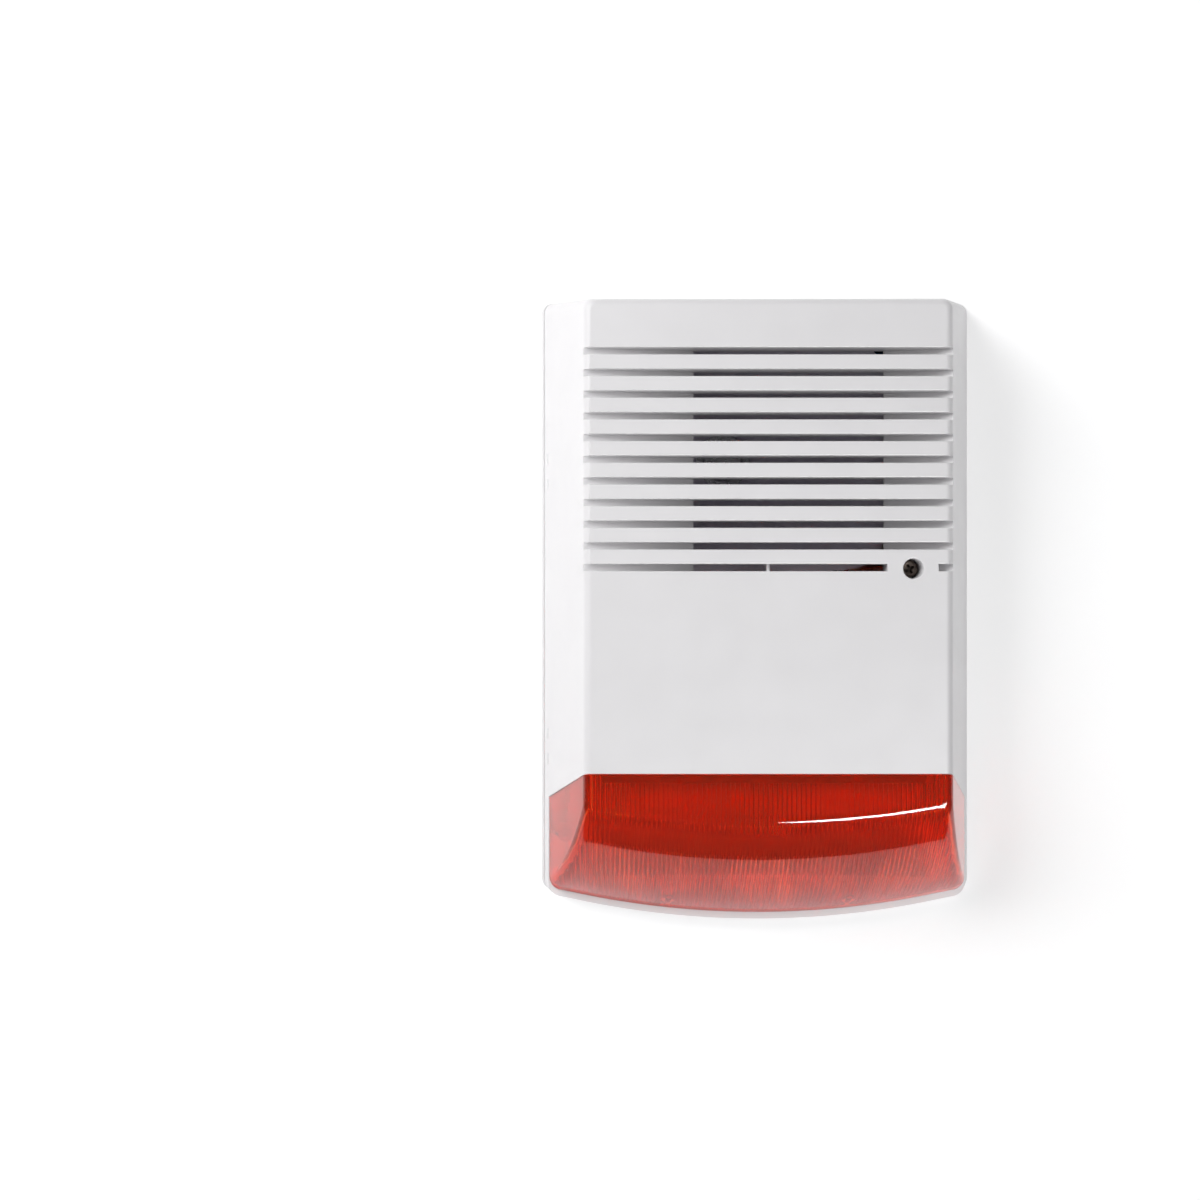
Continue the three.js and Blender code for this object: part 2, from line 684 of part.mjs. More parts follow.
function basePlate() {
  const plate = caseBlock(0, PLATE, 0);
  const bead = caseBlock(PLATE - 0.5, BEAD_HEIGHT, 0).subtract(
    caseBlock(PLATE - 1, BEAD_HEIGHT + 1, BEAD_WIDTH),
  );
  const lowerPart = box([-110, 110], [-WEIR_HEIGHT - 1, -WEIR_LOW_HEIGHT], [-150, WEIR_STEP]);
  const weir = caseBlock(PLATE - 0.5, WEIR_HEIGHT, WEIR_INSET)
    .subtract(caseBlock(PLATE - 1, WEIR_HEIGHT + 1, WEIR_INSET + WEIR_WIDTH))
    .subtract(lowerPart);
  const inPlate = PLATE - 0.5;
  const hornPosts = hornScrewPlaces().map(([x, z]) => {
    return post(x, z, inPlate, HORN_FLANGE_BACK - GAP, 3.5, 12);
  });
  const boardPosts = BOARD_HOLES.map(([x, z]) => post(x, z, inPlate, BOARD.back - GAP, 3, 12));
  const clampPosts = CLAMP_POSTS.map((x) => {
    return post(x, CLAMP_Z, inPlate, CLAMP_BACK - GAP, 3.4, 12);
  });
  const strobePosts = [-STROBE_SCREW_X, STROBE_SCREW_X].map((x) => {
    return post(x, STROBE_Z, inPlate, STROBE_BOARD_BACK - GAP, 3.5, 12);
  });
  const boss = post(SCREW_X, SCREW_Z, inPlate, BOSS_FRONT, WELL_RADIUS, 20);
  const gussets = box(
    [SCREW_X - 1, SCREW_X + 1],
    [-34, -inPlate],
    [SCREW_Z - 12, SCREW_Z + 12],
  ).add(box([SCREW_X - 12, SCREW_X + 12], [-34, -inPlate], [SCREW_Z - 1, SCREW_Z + 1]));
  const shelves = [BATTERY_LEFT + 4, BATTERY_LEFT + 36].map((x) => {
    return box([x, x + 8], [-12, -inPlate], [BATTERY_BOTTOM - 2.4, BATTERY_BOTTOM - GAP]);
  });
  const raised = union([
    plate,
    bead,
    weir,
    ...hornPosts,
    ...boardPosts,
    ...clampPosts,
    ...strobePosts,
    boss,
    gussets,
    ...shelves,
    ...HINGE_HEIGHTS.map(hingeEar),
  ]);
  const pilot = ([x, z], front) => post(x, z, 3.5, front + 1, SMALL_PILOT, 8);
  const holes = [
    post(SCREW_X, SCREW_Z, BOSS_FRONT - INSERT_LENGTH - GAP, BOSS_FRONT + 1, 4.6, 20),
    post(CABLE_X, CABLE_Z, -1, PLATE + 1, CABLE_HOLE, 24),
    ...WALL_HOLES.map((place, i) => wallHole(place, i < 2)),
    ...hornScrewPlaces().map((place) => pilot(place, HORN_FLANGE_BACK)),
    ...BOARD_HOLES.map((place) => pilot(place, BOARD.back)),
    ...CLAMP_POSTS.map((x) => pilot([x, CLAMP_Z], CLAMP_BACK)),
    pilot([-STROBE_SCREW_X, STROBE_Z], STROBE_BOARD_BACK),
    pilot([STROBE_SCREW_X, STROBE_Z], STROBE_BOARD_BACK),
    ...HINGE_HEIGHTS.map((z) => upright(HINGE_X, HINGE_Y, [z - 5, z + 5], HINGE_BORE_RADIUS)),
  ];
  return raised.subtract(union(holes));
}

function hingePin(z) {
  const half = HINGE_EAR / 2 + GAP + HINGE_LUG - 0.4;
  return upright(HINGE_X, HINGE_Y, [z - half, z + half], HINGE_PIN_RADIUS);
}

function cableGrommet() {
  return ring(CABLE_X, CABLE_Z, [
    [4.5, 0.4],
    [CABLE_HOLE - GAP, 0.4],
    [CABLE_HOLE - GAP, PLATE + GAP],
    [12.5, PLATE + GAP],
    [12.5, 4.4],
    [8.5, 5],
    [6, 9],
    [4.5, 9],
  ]);
}

// Brass sleeve with a funnel mouth that leads the cover screw in.
function screwInsert() {
  const back = BOSS_FRONT - INSERT_LENGTH;
  return ring(SCREW_X, SCREW_Z, [
    [SCREW_RADIUS + 0.1, back],
    [4.2, back],
    [4.2, BOSS_FRONT - 0.1],
    [3.3, BOSS_FRONT - 0.1],
    [SCREW_RADIUS + 0.1, BOSS_FRONT - 3.6],
  ], 20);
}

function coverScrew() {
  const seat = SCREW_SEAT + 1.4;
  const height = 2.8;
  const radius = SCREW_HEAD_RADIUS;
  const body = frontScrew(SCREW_X, SCREW_Z, seat, SCREW_TIP, radius, SCREW_RADIUS, height, 16);
  const recess = [seat + height * 0.45, seat + height + 1];
  return body.subtract(crossRecess(SCREW_X, SCREW_Z, ...recess, radius * 0.55, radius * 0.24));
}

function screwWasher() {
  const back = SCREW_SEAT + GAP;
  return ring(SCREW_X, SCREW_Z, [
    [SCREW_RADIUS + 0.15, back],
    [4, back],
    [4, back + 0.8],
    [SCREW_RADIUS + 0.15, back + 0.8],
  ], 20);
}

// ---------------------------------------------------------------- horn

function hornScrewPlaces() {
  const places = [];
  for (const dx of [-1, 1]) {
    for (const dz of [-1, 1]) {
      places.push([HORN_X + dx * HORN_SCREW_OFFSET, HORN_Z + dz * HORN_SCREW_OFFSET]);
    }
  }
  return places;
}

// A section of the flare: round at the throat, nearly square at the mouth.
function flareOutline(depth, grow) {
  const along = (depth - HORN_FLANGE_FRONT) / (HORN_MOUTH - HORN_FLANGE_FRONT);
  const eased = Math.max(along, 0) ** 1.5;
  const throat = HORN_THROAT_RADIUS + grow;
  const halfX = throat + (HORN_MOUTH_HALF_WIDTH - HORN_THROAT_RADIUS) * eased;
  const halfZ = throat + (HORN_MOUTH_HALF_HEIGHT - HORN_THROAT_RADIUS) * eased;
  const middle = HORN_X + HORN_MOUTH_SHIFT * eased;
  const power = 2 / (2 + 5 * Math.max(along, 0));
  const count = 24;
  const points = [];
  for (let i = 0; i < count; i += 1) {
    const angle = (-2 * Math.PI * i) / count;
    const x = Math.sign(Math.cos(angle)) * Math.abs(Math.cos(angle)) ** power;
    const z = Math.sign(Math.sin(angle)) * Math.abs(Math.sin(angle)) ** power;
    points.push([middle + halfX * x, -depth, HORN_Z + halfZ * z]);
  }
  return points;
}

function sirenHorn() {
  const depths = [HORN_FLANGE_FRONT - 0.5, 30, 38, 46, HORN_MOUTH];
  const outer = loft(depths.map((depth) => flareOutline(depth, 2)));
  const hollow = loft(
    [HORN_FLANGE_BACK - 1, ...depths.slice(1, 4), HORN_MOUTH + 0.01].map((depth) => {
      return flareOutline(depth, 0);
    }),
  );
  const half = HORN_FLANGE_HALF;
  const flange = box(
    [HORN_X - half, HORN_X + half],
    [-HORN_FLANGE_FRONT, -HORN_FLANGE_BACK],
    [HORN_Z - half, HORN_Z + half],
  );
  const holes = hornScrewPlaces().map(([x, z]) => {
    return post(x, z, HORN_FLANGE_BACK - 1, HORN_FLANGE_FRONT + 1, SMALL_HOLE, 12);
  });
  return flange.add(outer).subtract(hollow).subtract(union(holes));
}

function sirenDriver() {
  return turned(HORN_X, HORN_Z, [
    [0, 4.2],
    [15, 4.2],
    [15, 9],
    [21, 9.6],
    [22, 12],
    [22, HORN_FLANGE_BACK - GAP],
    [9, HORN_FLANGE_BACK - GAP],
    [8, HORN_FLANGE_BACK - 1.5],
    [0, HORN_FLANGE_BACK - 1.5],
  ], 28);
}

// ---------------------------------------------------------------- battery

function backupBattery() {
  const cells = [];
  const span = [BATTERY_LEFT, BATTERY_LEFT + CELL_LENGTH];
  const middle = -BATTERY_BACK - CELL_RADIUS;
  for (let i = 0; i < CELLS; i += 1) {
    const z = BATTERY_BOTTOM + CELL_RADIUS * (1 + 2 * i);
    const geometry = new THREE.CylinderGeometry(CELL_RADIUS, CELL_RADIUS, CELL_LENGTH, 20);
    geometry.rotateZ(Math.PI / 2);
    geometry.translate((span[0] + span[1]) / 2, middle, z);
    cells.push(solid(geometry));
    if (i) {
      const seam = z - CELL_RADIUS;
      cells.push(box(span, [middle - 5.6, middle + 5.6], [seam - 3, seam + 3]));
    }
  }
  return union(cells);
}

function batteryClamp() {
  const band = box(
    [CLAMP_POSTS[0] - 4, CLAMP_POSTS[1] + 4],
    [-CLAMP_BACK - 1.5, -CLAMP_BACK],
    [CLAMP_Z - 6, CLAMP_Z + 6],
  );
  const holes = CLAMP_POSTS.map((x) => {
    return post(x, CLAMP_Z, CLAMP_BACK - 1, CLAMP_BACK + 3, SMALL_HOLE, 12);
  });
  return band.subtract(union(holes));
}

// ---------------------------------------------------------------- circuit board

function circuitBoard() {
  const plate = box(
    [BOARD.left, BOARD.right],
    [-BOARD.front, -BOARD.back],
    [BOARD.bottom, BOARD.top],
  );
  const holes = BOARD_HOLES.map(([x, z]) => post(x, z, BOARD.back - 1, BOARD.front + 1, SMALL_HOLE, 12));
  return plate.subtract(union(holes));
}

function terminalPlace(way) {
  return [TERMINAL.left + TERMINAL.pitch * (way + 0.5), TERMINAL.top - 4];
}

function terminalBlock() {
  const right = TERMINAL.left + TERMINAL.pitch * TERMINAL.ways;
  let body = box(
    [TERMINAL.left, right],
    [-TERMINAL.front, -ON_BOARD],
    [TERMINAL.bottom, TERMINAL.top],
  );
  for (let way = 0; way < TERMINAL.ways; way += 1) {
    const [x, z] = terminalPlace(way);
    body = body.subtract(post(x, z, TERMINAL.front - 3, TERMINAL.front + 1, 2.1, 12));
    const mouth = [TERMINAL.bottom - 1, TERMINAL.bottom + 4];
    body = body.subtract(box([x - 1.7, x + 1.7], [-16.4, -12], mouth));
  }
  return body;
}

function terminalScrew(way) {
  const [x, z] = terminalPlace(way);
  const seat = TERMINAL.front - 3 + GAP;
  const body = post(x, z, seat, seat + 1.8, TERMINAL_SCREW_RADIUS, 12);
  return body.subtract(box([x - 2, x + 2], [-seat - 2, -seat - 1], [z - 0.3, z + 0.3]));
}

function relay() {
  const { left, right, bottom, top, front, lid } = RELAY;
  const body = box([left, right], [-front, -ON_BOARD], [bottom, top]);
  return body.add(box([left + 1, right - 1], [-lid, -front + 1], [bottom + 1, top - 1]));
}

function reservoirCapacitor() {
  const { x, z, radius, front, groove } = CAPACITOR;
  return turned(x, z, [
    [0, ON_BOARD],
    [radius, ON_BOARD],
    [radius, groove - 0.6],
    [radius - 0.4, groove],
    [radius, groove + 0.6],
    [radius, front - 0.6],
    [radius - 0.4, front],
    [radius - 1.6, front - 0.2],
    [0, front - 0.2],
  ], 20);
}

function stepUpCoil() {
  const { x, z, radius, winding, front, core } = COIL;
  return turned(x, z, [
    [0, ON_BOARD],
    [radius, ON_BOARD],
    [radius, 12],
    [winding, 12.2],
    [winding, front - 2.2],
    [radius, front - 2],
    [radius, front],
    [core, front],
    [core - 0.4, front - 1.4],
    [0, front - 1.4],
  ], 20);
}

function driverChip() {
  const { left, right, bottom, top, back, front } = CHIP;
  const body = box([left, right], [-front, -back], [bottom, top]);
  const legs = [];
  for (let i = 0; i < CHIP_LEGS; i += 1) {
    const x = left + 1.34 + LEG_PITCH * i;
    legs.push(box([x - 0.3, x + 0.3], [-back - 1.8, -ON_BOARD], [bottom - 1, top + 1]));
  }
  const notch = post(left, (bottom + top) / 2, front - 0.6, front + 1, 1.2, 12);
  return union([body, ...legs]).subtract(notch);
}

function powerTransistor() {
  const { left, right, bottom, tab, front, tabFront } = TRANSISTOR;
  const middle = (left + right) / 2;
  const back = -ON_BOARD - 1;
  const body = box([left, right], [-front, back], [bottom, tab]);
  const plate = box([left, right], [-tabFront, back], [tab - 0.1, tab + 1.2]);
  const legs = [-1, 0, 1].map((i) => {
    const x = middle + i * LEG_PITCH;
    return box([x - 0.4, x + 0.4], [back - 1, -ON_BOARD], [bottom + 1.8, bottom + 2.4]);
  });
  const hole = upright(middle, -tabFront + 3.1, [tab - 1.5, tab + 2.5], SMALL_HOLE, 12);
  return union([body, plate, ...legs]).subtract(hole);
}

// A pin header with an open front: the left, bottom corner and its width.
function header(left, bottom, width) {
  const top = bottom + HEADER_HEIGHT;
  const middle = bottom + HEADER_HEIGHT / 2;
  const shell = box([left, left + width], [-HEADER_FRONT, -ON_BOARD], [bottom, top]);
  const hollow = box(
    [left + HEADER_WALL, left + width - HEADER_WALL],
    [-HEADER_FRONT - 1, -12],
    [bottom + HEADER_WALL, top - HEADER_WALL],
  );
  const pins = [-PIN_OFFSET, PIN_OFFSET].map((offset) => {
    const x = left + width / 2 + offset;
    const across = [x - PIN_HALF, x + PIN_HALF];
    return box(across, [-HEADER_FRONT + 1.4, -11.5], [middle - 0.3, middle + 0.3]);
  });
  return union([shell.subtract(hollow), ...pins]);
}

function batteryPlug() {
  const [left, bottom, width] = BATTERY_HEADER;
  return box(
    [left + 1.1, left + width - 1.1],
    [-23, -17],
    [bottom + 1.1, bottom + 4.9],
  );
}

// ---------------------------------------------------------------- tamper switch

function tamperSwitch() {
  const body = box(
    [TAMPER_X - 6, TAMPER_X + 6],
    [-TAMPER_BODY_FRONT, -ON_BOARD],
    [TAMPER_Z - 6, TAMPER_Z + 6],
  );
  return body.subtract(post(TAMPER_X, TAMPER_Z, 11, TAMPER_BODY_FRONT + 1, 1.8));
}

function tamperPlunger() {
  const headBack = PLUNGER_FRONT - PLUNGER_HEAD;
  return turned(TAMPER_X, TAMPER_Z, [
    [0, 14.5],
    [1.5, 14.5],
    [1.5, headBack],
    [4, headBack],
    [4, PLUNGER_FRONT - 1],
    [3.2, PLUNGER_FRONT],
    [0, PLUNGER_FRONT],
  ]);
}

function tamperSpring() {
  const wireRadius = 0.4;
  const coilRadius = 2.9;
  const turns = 4;
  const back = TAMPER_BODY_FRONT + 0.3 + wireRadius;
  const front = PLUNGER_FRONT - PLUNGER_HEAD - 0.3 - wireRadius;
  const steps = turns * 10;
  const sides = 4;
  const points = [];
  const faces = [];
  for (let s = 0; s <= steps; s += 1) {
    const turn = (2 * Math.PI * s) / 10;
    const depth = back + ((front - back) * s) / steps;
    for (let i = 0; i < sides; i += 1) {
      const angle = (2 * Math.PI * i) / sides;
      const radius = coilRadius + wireRadius * Math.cos(angle);
      points.push([
        TAMPER_X + radius * Math.cos(turn),
        -depth - wireRadius * Math.sin(angle),
        TAMPER_Z + radius * Math.sin(turn),
      ]);
    }
  }
  for (let s = 0; s < steps; s += 1) {
    for (let i = 0; i < sides; i += 1) {
      const a = s * sides + i;
      const b = s * sides + ((i + 1) % sides);
      faces.push(a, b + sides, b, a, a + sides, b + sides);
    }
  }
  for (let i = 1; i + 1 < sides; i += 1) {
    faces.push(0, i, i + 1);
    faces.push(steps * sides, steps * sides + i + 1, steps * sides + i);
  }
  const geometry = new THREE.BufferGeometry();
  geometry.setAttribute("position", new THREE.Float32BufferAttribute(points.flat(), 3));
  geometry.setIndex(faces);
  return solid(geometry);
}

// ---------------------------------------------------------------- beacon

function strobeBoard() {
  const plate = box([-57, 57], [-STROBE_BOARD_FRONT, -STROBE_BOARD_BACK], [-104, -88]);
  const holes = [-STROBE_SCREW_X, STROBE_SCREW_X].map((x) => {
    return post(x, STROBE_Z, STROBE_BOARD_BACK - 1, STROBE_BOARD_FRONT + 1, SMALL_HOLE, 12);
  });
  return plate.subtract(union(holes));
}

function strobeReflector() {
  const back = REFLECTOR_BACK;
  const thick = REFLECTOR_THICKNESS;
  const profile = [
    [-26, -72],
    [-17.4, -80],
    [-back - 0.4, -88],
    [-back, STROBE_Z],
    [-back - 0.4, -104],
    [-17.4, -112],
    [-23, -117.5],
  ];
  const front = profile.map(([y, z]) => [y - thick, z]).reverse();
  const trough = prism([...profile, ...front], [-74, 74]);
  const bosses = [-STROBE_SCREW_X, STROBE_SCREW_X].map((x) => {
    return post(x, STROBE_Z, STROBE_BOARD_FRONT + GAP, back + 0.6, 3, 12);
  });
  const holes = [-STROBE_SCREW_X, STROBE_SCREW_X].map((x) => {
    return post(x, STROBE_Z, STROBE_BOARD_FRONT, back + 3, SMALL_HOLE, 12);
  });
  const lampHoles = [-1, 0, 1].map((i) => {
    return post(i * LED_SPACING, STROBE_Z, back - 2, back + 4, 3.4);
  });
  return union([trough, ...bosses]).subtract(union([...holes, ...lampHoles]));
}

function strobeLed(index) {
  const foot = STROBE_BOARD_FRONT + GAP;
  return turned(index * LED_SPACING, STROBE_Z, [
    [0, foot],
    [2.9, foot],
    [2.9, foot + 1],
    [2.5, foot + 1],
    [2.5, foot + 6.2],
    [2.17, foot + 7.5],
    [1.25, foot + 8.4],
    [0, foot + 8.7],
  ]);
}

// ---------------------------------------------------------------- leads

const LEAD_RADIUS = 0.8;

function batteryLead(offset) {
  const [left, bottom] = BATTERY_HEADER;
  const startX = 44 + offset;
  const endX = left + 3.8 + offset * 0.5;
  return wire([
    [startX, -11, BATTERY_BOTTOM - 0.5],
    [startX - 1, -12, 26],
    [startX - 8, -17, 16],
    [endX + 6, -24, 6],
    [endX + 0.4, -27.5, -1],
    [endX, -26, bottom + 3],
    [endX, -23.3, bottom + 3],
  ], LEAD_RADIUS);
}

function sirenLead(offset) {
  const [left, bottom, width] = SIREN_HEADER;
  const endX = left + width / 2 + offset;
  return wire([
    [HORN_X + offset * 2, -16, HORN_Z - 22.6],
    [HORN_X + offset * 2, -15, 40],
    [endX + offset, -17, 24],
    [endX, -24, 6],
    [endX, -25, bottom + 3],
    [endX, -18.4, bottom + 3],
  ], LEAD_RADIUS);
}

function strobeLead() {
  const [left, bottom, width] = STROBE_HEADER;
  const endX = left + width / 2;
  return wire([
    [endX, -18.4, bottom + 3],
    [endX, -24, bottom + 2],
    [-24, -29, -16],
    [-36, -28, -40],
    [-34, -27, -58],
    [-32, -20, -68],
    [-31, -8, -77],
    [-30, -6, -88],
    [-30, -7.6, -93],
    [-30, -9.4, -93.6],
  ], 1.2, 26);
}

// ---------------------------------------------------------------- assembly

const siren = new THREE.Group();

function add(name, body, material) {
  const mesh = new THREE.Mesh(geometryOf(body), material);
  mesh.name = name;
  siren.add(mesh);
}

add("base_plate", basePlate(), WHITE_ABS);
add("cable_grommet", cableGrommet(), RUBBER);
add("screw_insert", screwInsert(), BRASS);
add("hinge_pin_upper", hingePin(HINGE_HEIGHTS[0]), BRIGHT_STEEL);
add("hinge_pin_lower", hingePin(HINGE_HEIGHTS[1]), BRIGHT_STEEL);

add("front_cover", frontCover(), WHITE_ABS);
add("strobe_lens", strobeLens(), RED_LENS);
add("lens_gasket", lensGasket(), SILICONE);
LENS_SCREWS.forEach((place, i) => add(`lens_screw_${i + 1}`, lensScrew(place), BRIGHT_STEEL));
add("screw_washer", screwWasher(), NYLON);
add("cover_screw", coverScrew(), DARK_STEEL);

add("siren_horn", sirenHorn(), GREY_PLASTIC);
add("siren_driver", sirenDriver(), BRIGHT_STEEL);
hornScrewPlaces().forEach(([x, z], i) => {
  const seat = HORN_FLANGE_FRONT + GAP;
  add(`horn_screw_${i + 1}`, smallScrew(x, z, seat, 8), BRIGHT_STEEL);
});

add("backup_battery", backupBattery(), BATTERY_WRAP);
add("battery_clamp", batteryClamp(), GREY_PLASTIC);
["left", "right"].forEach((side, i) => {
  const seat = CLAMP_BACK + 1.5 + GAP;
  const body = smallScrew(CLAMP_POSTS[i], CLAMP_Z, seat, 8);
  add(`clamp_screw_${side}`, body, BRIGHT_STEEL);
});

add("circuit_board", circuitBoard(), BOARD_GREEN);
BOARD_HOLES.forEach(([x, z], i) => {
  const body = smallScrew(x, z, BOARD.front + GAP, 4.2);
  add(`board_screw_${i + 1}`, body, BRIGHT_STEEL);
});
add("terminal_block", terminalBlock(), TERMINAL_GREEN);
for (let way = 0; way < TERMINAL.ways; way += 1) {
  add(`terminal_screw_${way + 1}`, terminalScrew(way), BRIGHT_STEEL);
}
add("relay", relay(), BLACK_PLASTIC);
add("reservoir_capacitor", reservoirCapacitor(), CAPACITOR_SLEEVE);
add("step_up_coil", stepUpCoil(), COPPER);
add("driver_chip", driverChip(), BLACK_PLASTIC);
add("power_transistor", powerTransistor(), BLACK_PLASTIC);
add("battery_header", header(...BATTERY_HEADER), NYLON);
add("siren_header", header(...SIREN_HEADER), NYLON);
add("strobe_header", header(...STROBE_HEADER), NYLON);
add("battery_plug", batteryPlug(), NYLON);

add("tamper_switch", tamperSwitch(), BLACK_PLASTIC);
add("tamper_plunger", tamperPlunger(), GREY_PLASTIC);
add("tamper_spring", tamperSpring(), BRIGHT_STEEL);

add("strobe_board", strobeBoard(), BOARD_GREEN);
add("strobe_reflector", strobeReflector(), REFLECTOR_METAL);
[-1, 0, 1].forEach((index, i) => add(`strobe_led_${i + 1}`, strobeLed(index), CLEAR_RESIN));
["left", "right"].forEach((side, i) => {
  const x = i ? STROBE_SCREW_X : -STROBE_SCREW_X;
  const seat = REFLECTOR_BACK + REFLECTOR_THICKNESS + GAP;
  add(`strobe_screw_${side}`, smallScrew(x, STROBE_Z, seat, 4.2), BRIGHT_STEEL);
});

add("battery_lead_red", batteryLead(2.4), RED_LEAD);
add("battery_lead_black", batteryLead(-2.4), BLACK_LEAD);
add("siren_lead_red", sirenLead(1.27), RED_LEAD);
add("siren_lead_black", sirenLead(-1.27), BLACK_LEAD);
add("strobe_lead", strobeLead(), GREY_PLASTIC);

export default siren;
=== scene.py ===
import json
import math

import bmesh
import bpy
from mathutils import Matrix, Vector


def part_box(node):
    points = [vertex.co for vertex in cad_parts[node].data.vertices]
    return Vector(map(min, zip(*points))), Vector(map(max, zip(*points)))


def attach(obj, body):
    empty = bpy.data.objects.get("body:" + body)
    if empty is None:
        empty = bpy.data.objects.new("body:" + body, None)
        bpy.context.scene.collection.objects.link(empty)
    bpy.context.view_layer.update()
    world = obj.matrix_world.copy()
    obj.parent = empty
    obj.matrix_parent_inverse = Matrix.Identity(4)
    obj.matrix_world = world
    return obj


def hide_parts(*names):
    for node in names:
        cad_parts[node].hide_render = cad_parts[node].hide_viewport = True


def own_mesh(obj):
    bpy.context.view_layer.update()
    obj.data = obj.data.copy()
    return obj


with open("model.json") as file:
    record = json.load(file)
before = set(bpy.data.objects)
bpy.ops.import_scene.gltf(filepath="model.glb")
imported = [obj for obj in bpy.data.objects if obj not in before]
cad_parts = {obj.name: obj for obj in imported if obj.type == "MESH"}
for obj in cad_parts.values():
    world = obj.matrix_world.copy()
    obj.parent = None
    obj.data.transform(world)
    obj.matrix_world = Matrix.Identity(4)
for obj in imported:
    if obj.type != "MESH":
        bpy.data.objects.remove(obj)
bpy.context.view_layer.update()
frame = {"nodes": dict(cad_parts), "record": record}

# Sizes here are millimetres. Every mesh is scaled to metres when it becomes a piece. "Depth" is the
# distance from the wall, so it is -y. A cutter runs about 1 mm past what it cuts.
MM = 0.001
scene = bpy.context.scene


def node_box(node):
    """Lowest and highest corner of a CAD node, in millimetres."""
    low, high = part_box(node)
    return low / MM, high / MM


# ------------------------------------------------------------------ driving dimensions

BACK_LOW, BACK_HIGH = node_box("base_plate")
DEPTH = -node_box("front_cover")[0].y
BACK_HALF_WIDTH = BACK_HIGH.x
BACK_TOP = BACK_HIGH.z
FRONT_HALF_WIDTH = 77.1
FRONT_TOP = 130.6
WALL = 2.5
EDGE_FILLET = 2.8
BOTTOM_ARC = 390
RIM_BOTTOM = BACK_LOW.z
TOP_CORNER = 4.6
BOTTOM_CORNER = 6
CORNER_TURN = 77
GAP = 0.3
ACROSS = (-110, 110)
ALONG = (-150, 150)

COVER_REAR = -node_box("front_cover")[1].y
HINGE_SIDE_REAR = 5.1
SEAM_FRONT = -68.8
SEAM_DROP = 16
LEDGE_FRONT = 11
LEDGE_BACK = 8.5
LEDGE_INSET = 6
LENS_REAR = -node_box("strobe_lens")[1].y
LENS_ARC = 120
LENS_ARC_Y = 36.88
LENS_ARC_Z = -27.19
LENS_TOP = -60
LENS_FLOOR_SLOPE = 1.2
LENS_INNER_CORNER = 2.2
LENS_SEAM_TOP = -70
LENS_LIP_BOTTOM = -73
LENS_LIP_HALF_WIDTH = 70
LENS_LIP_THICKNESS = 2.1

SLOTS = 11
SLOT_TOP = 108.7
SLOT_PITCH = 9.1
SLOT_HEIGHT = 3
SLOT_HALF_LENGTH = 77.9
SLOT_BRIDGE = (49.9, 71.2)
SLOT_OPEN = (-31, 50)
SLOT_LINE = (
    (-SLOT_HALF_LENGTH, 2.4),
    (SLOT_OPEN[0], 10.8),
    (SLOT_OPEN[1], 10.8),
    (72, 6.9),
    (SLOT_HALF_LENGTH, 2.4),
)
SLOT_FLOOR = 1.5
SLOT_LIP = 0.45
SLOT_STEP = 0.01
WEB_WIDTH = 1.2
WEB_DEPTH = 3
LOUVRE_END = 1.4
LOUVRE_OVERLAP = 0.4
LOUVRE_MARGIN = 2.2

SCREW_LOW, SCREW_HIGH = node_box("cover_screw")
SCREW_X = (SCREW_LOW.x + SCREW_HIGH.x) / 2
SCREW_Z = (SCREW_LOW.z + SCREW_HIGH.z) / 2
SCREW_HEAD_RADIUS = (SCREW_HIGH.x - SCREW_LOW.x) / 2
SCREW_HOLE_RADIUS = 4.25
SCREW_HOLE_LIP = 0.5
SCREW_RADIUS = 2
SCREW_SEAT = 52
BOSS_FRONT = 47.7
WELL_RADIUS = 6.5

HINGE_X = -91.4
HINGE_Y = -8
HINGE_HEIGHTS = (62, -62)
HINGE_EAR = 6
HINGE_LUG = 5
HINGE_EAR_RADIUS = 2
HINGE_BORE_RADIUS = 0.96
LUG_RADIUS = 2.2
LUG_ARM = 3.2
LUG_ARM_FRONT = 2.1

LENS_SCREWS = ((-84.5, -100), (84.5, -100), (-40, -126.5), (40, -126.5))
LENS_SCREW_AT_SIDE = 60
LENS_EAR_RADIUS = 3.6
LENS_EAR_REACH = 6
LENS_POST_RADIUS = 3.2
LENS_POST_FRONT = 24
LENS_PILOT_FRONT = 22
LENS_PILOT_RADIUS = 1.3
LENS_RIB_REACH = 9
LENS_RIB_HALF = 0.9
CLEARANCE_RADIUS = 1.8
TAMPER_X = 28
TAMPER_Z = -22
TAMPER_POST_RADIUS = 3.5
PLUNGER_FRONT = 29

FLUTE_PITCH = 2.0
FLUTE_HEIGHT = 0.8
FLUTE_STEPS = 8
FLUTE_REACH = 16

CREASE = 32
LENS_CREASE = 40

# ------------------------------------------------------------------ meshes


def closed(points, faces):
    """A closed mesh with its faces turned outward."""
    mesh = bpy.data.meshes.new("solid")
    mesh.from_pydata([tuple(p) for p in points], [], faces)
    work = bmesh.new()
    work.from_mesh(mesh)
    bmesh.ops.remove_doubles(work, verts=work.verts, dist=1e-4)
    bmesh.ops.recalc_face_normals(work, faces=work.faces)
    if work.calc_volume(signed=True) < 0:
        bmesh.ops.reverse_faces(work, faces=work.faces)
    work.to_mesh(mesh)
    work.free()
    return mesh


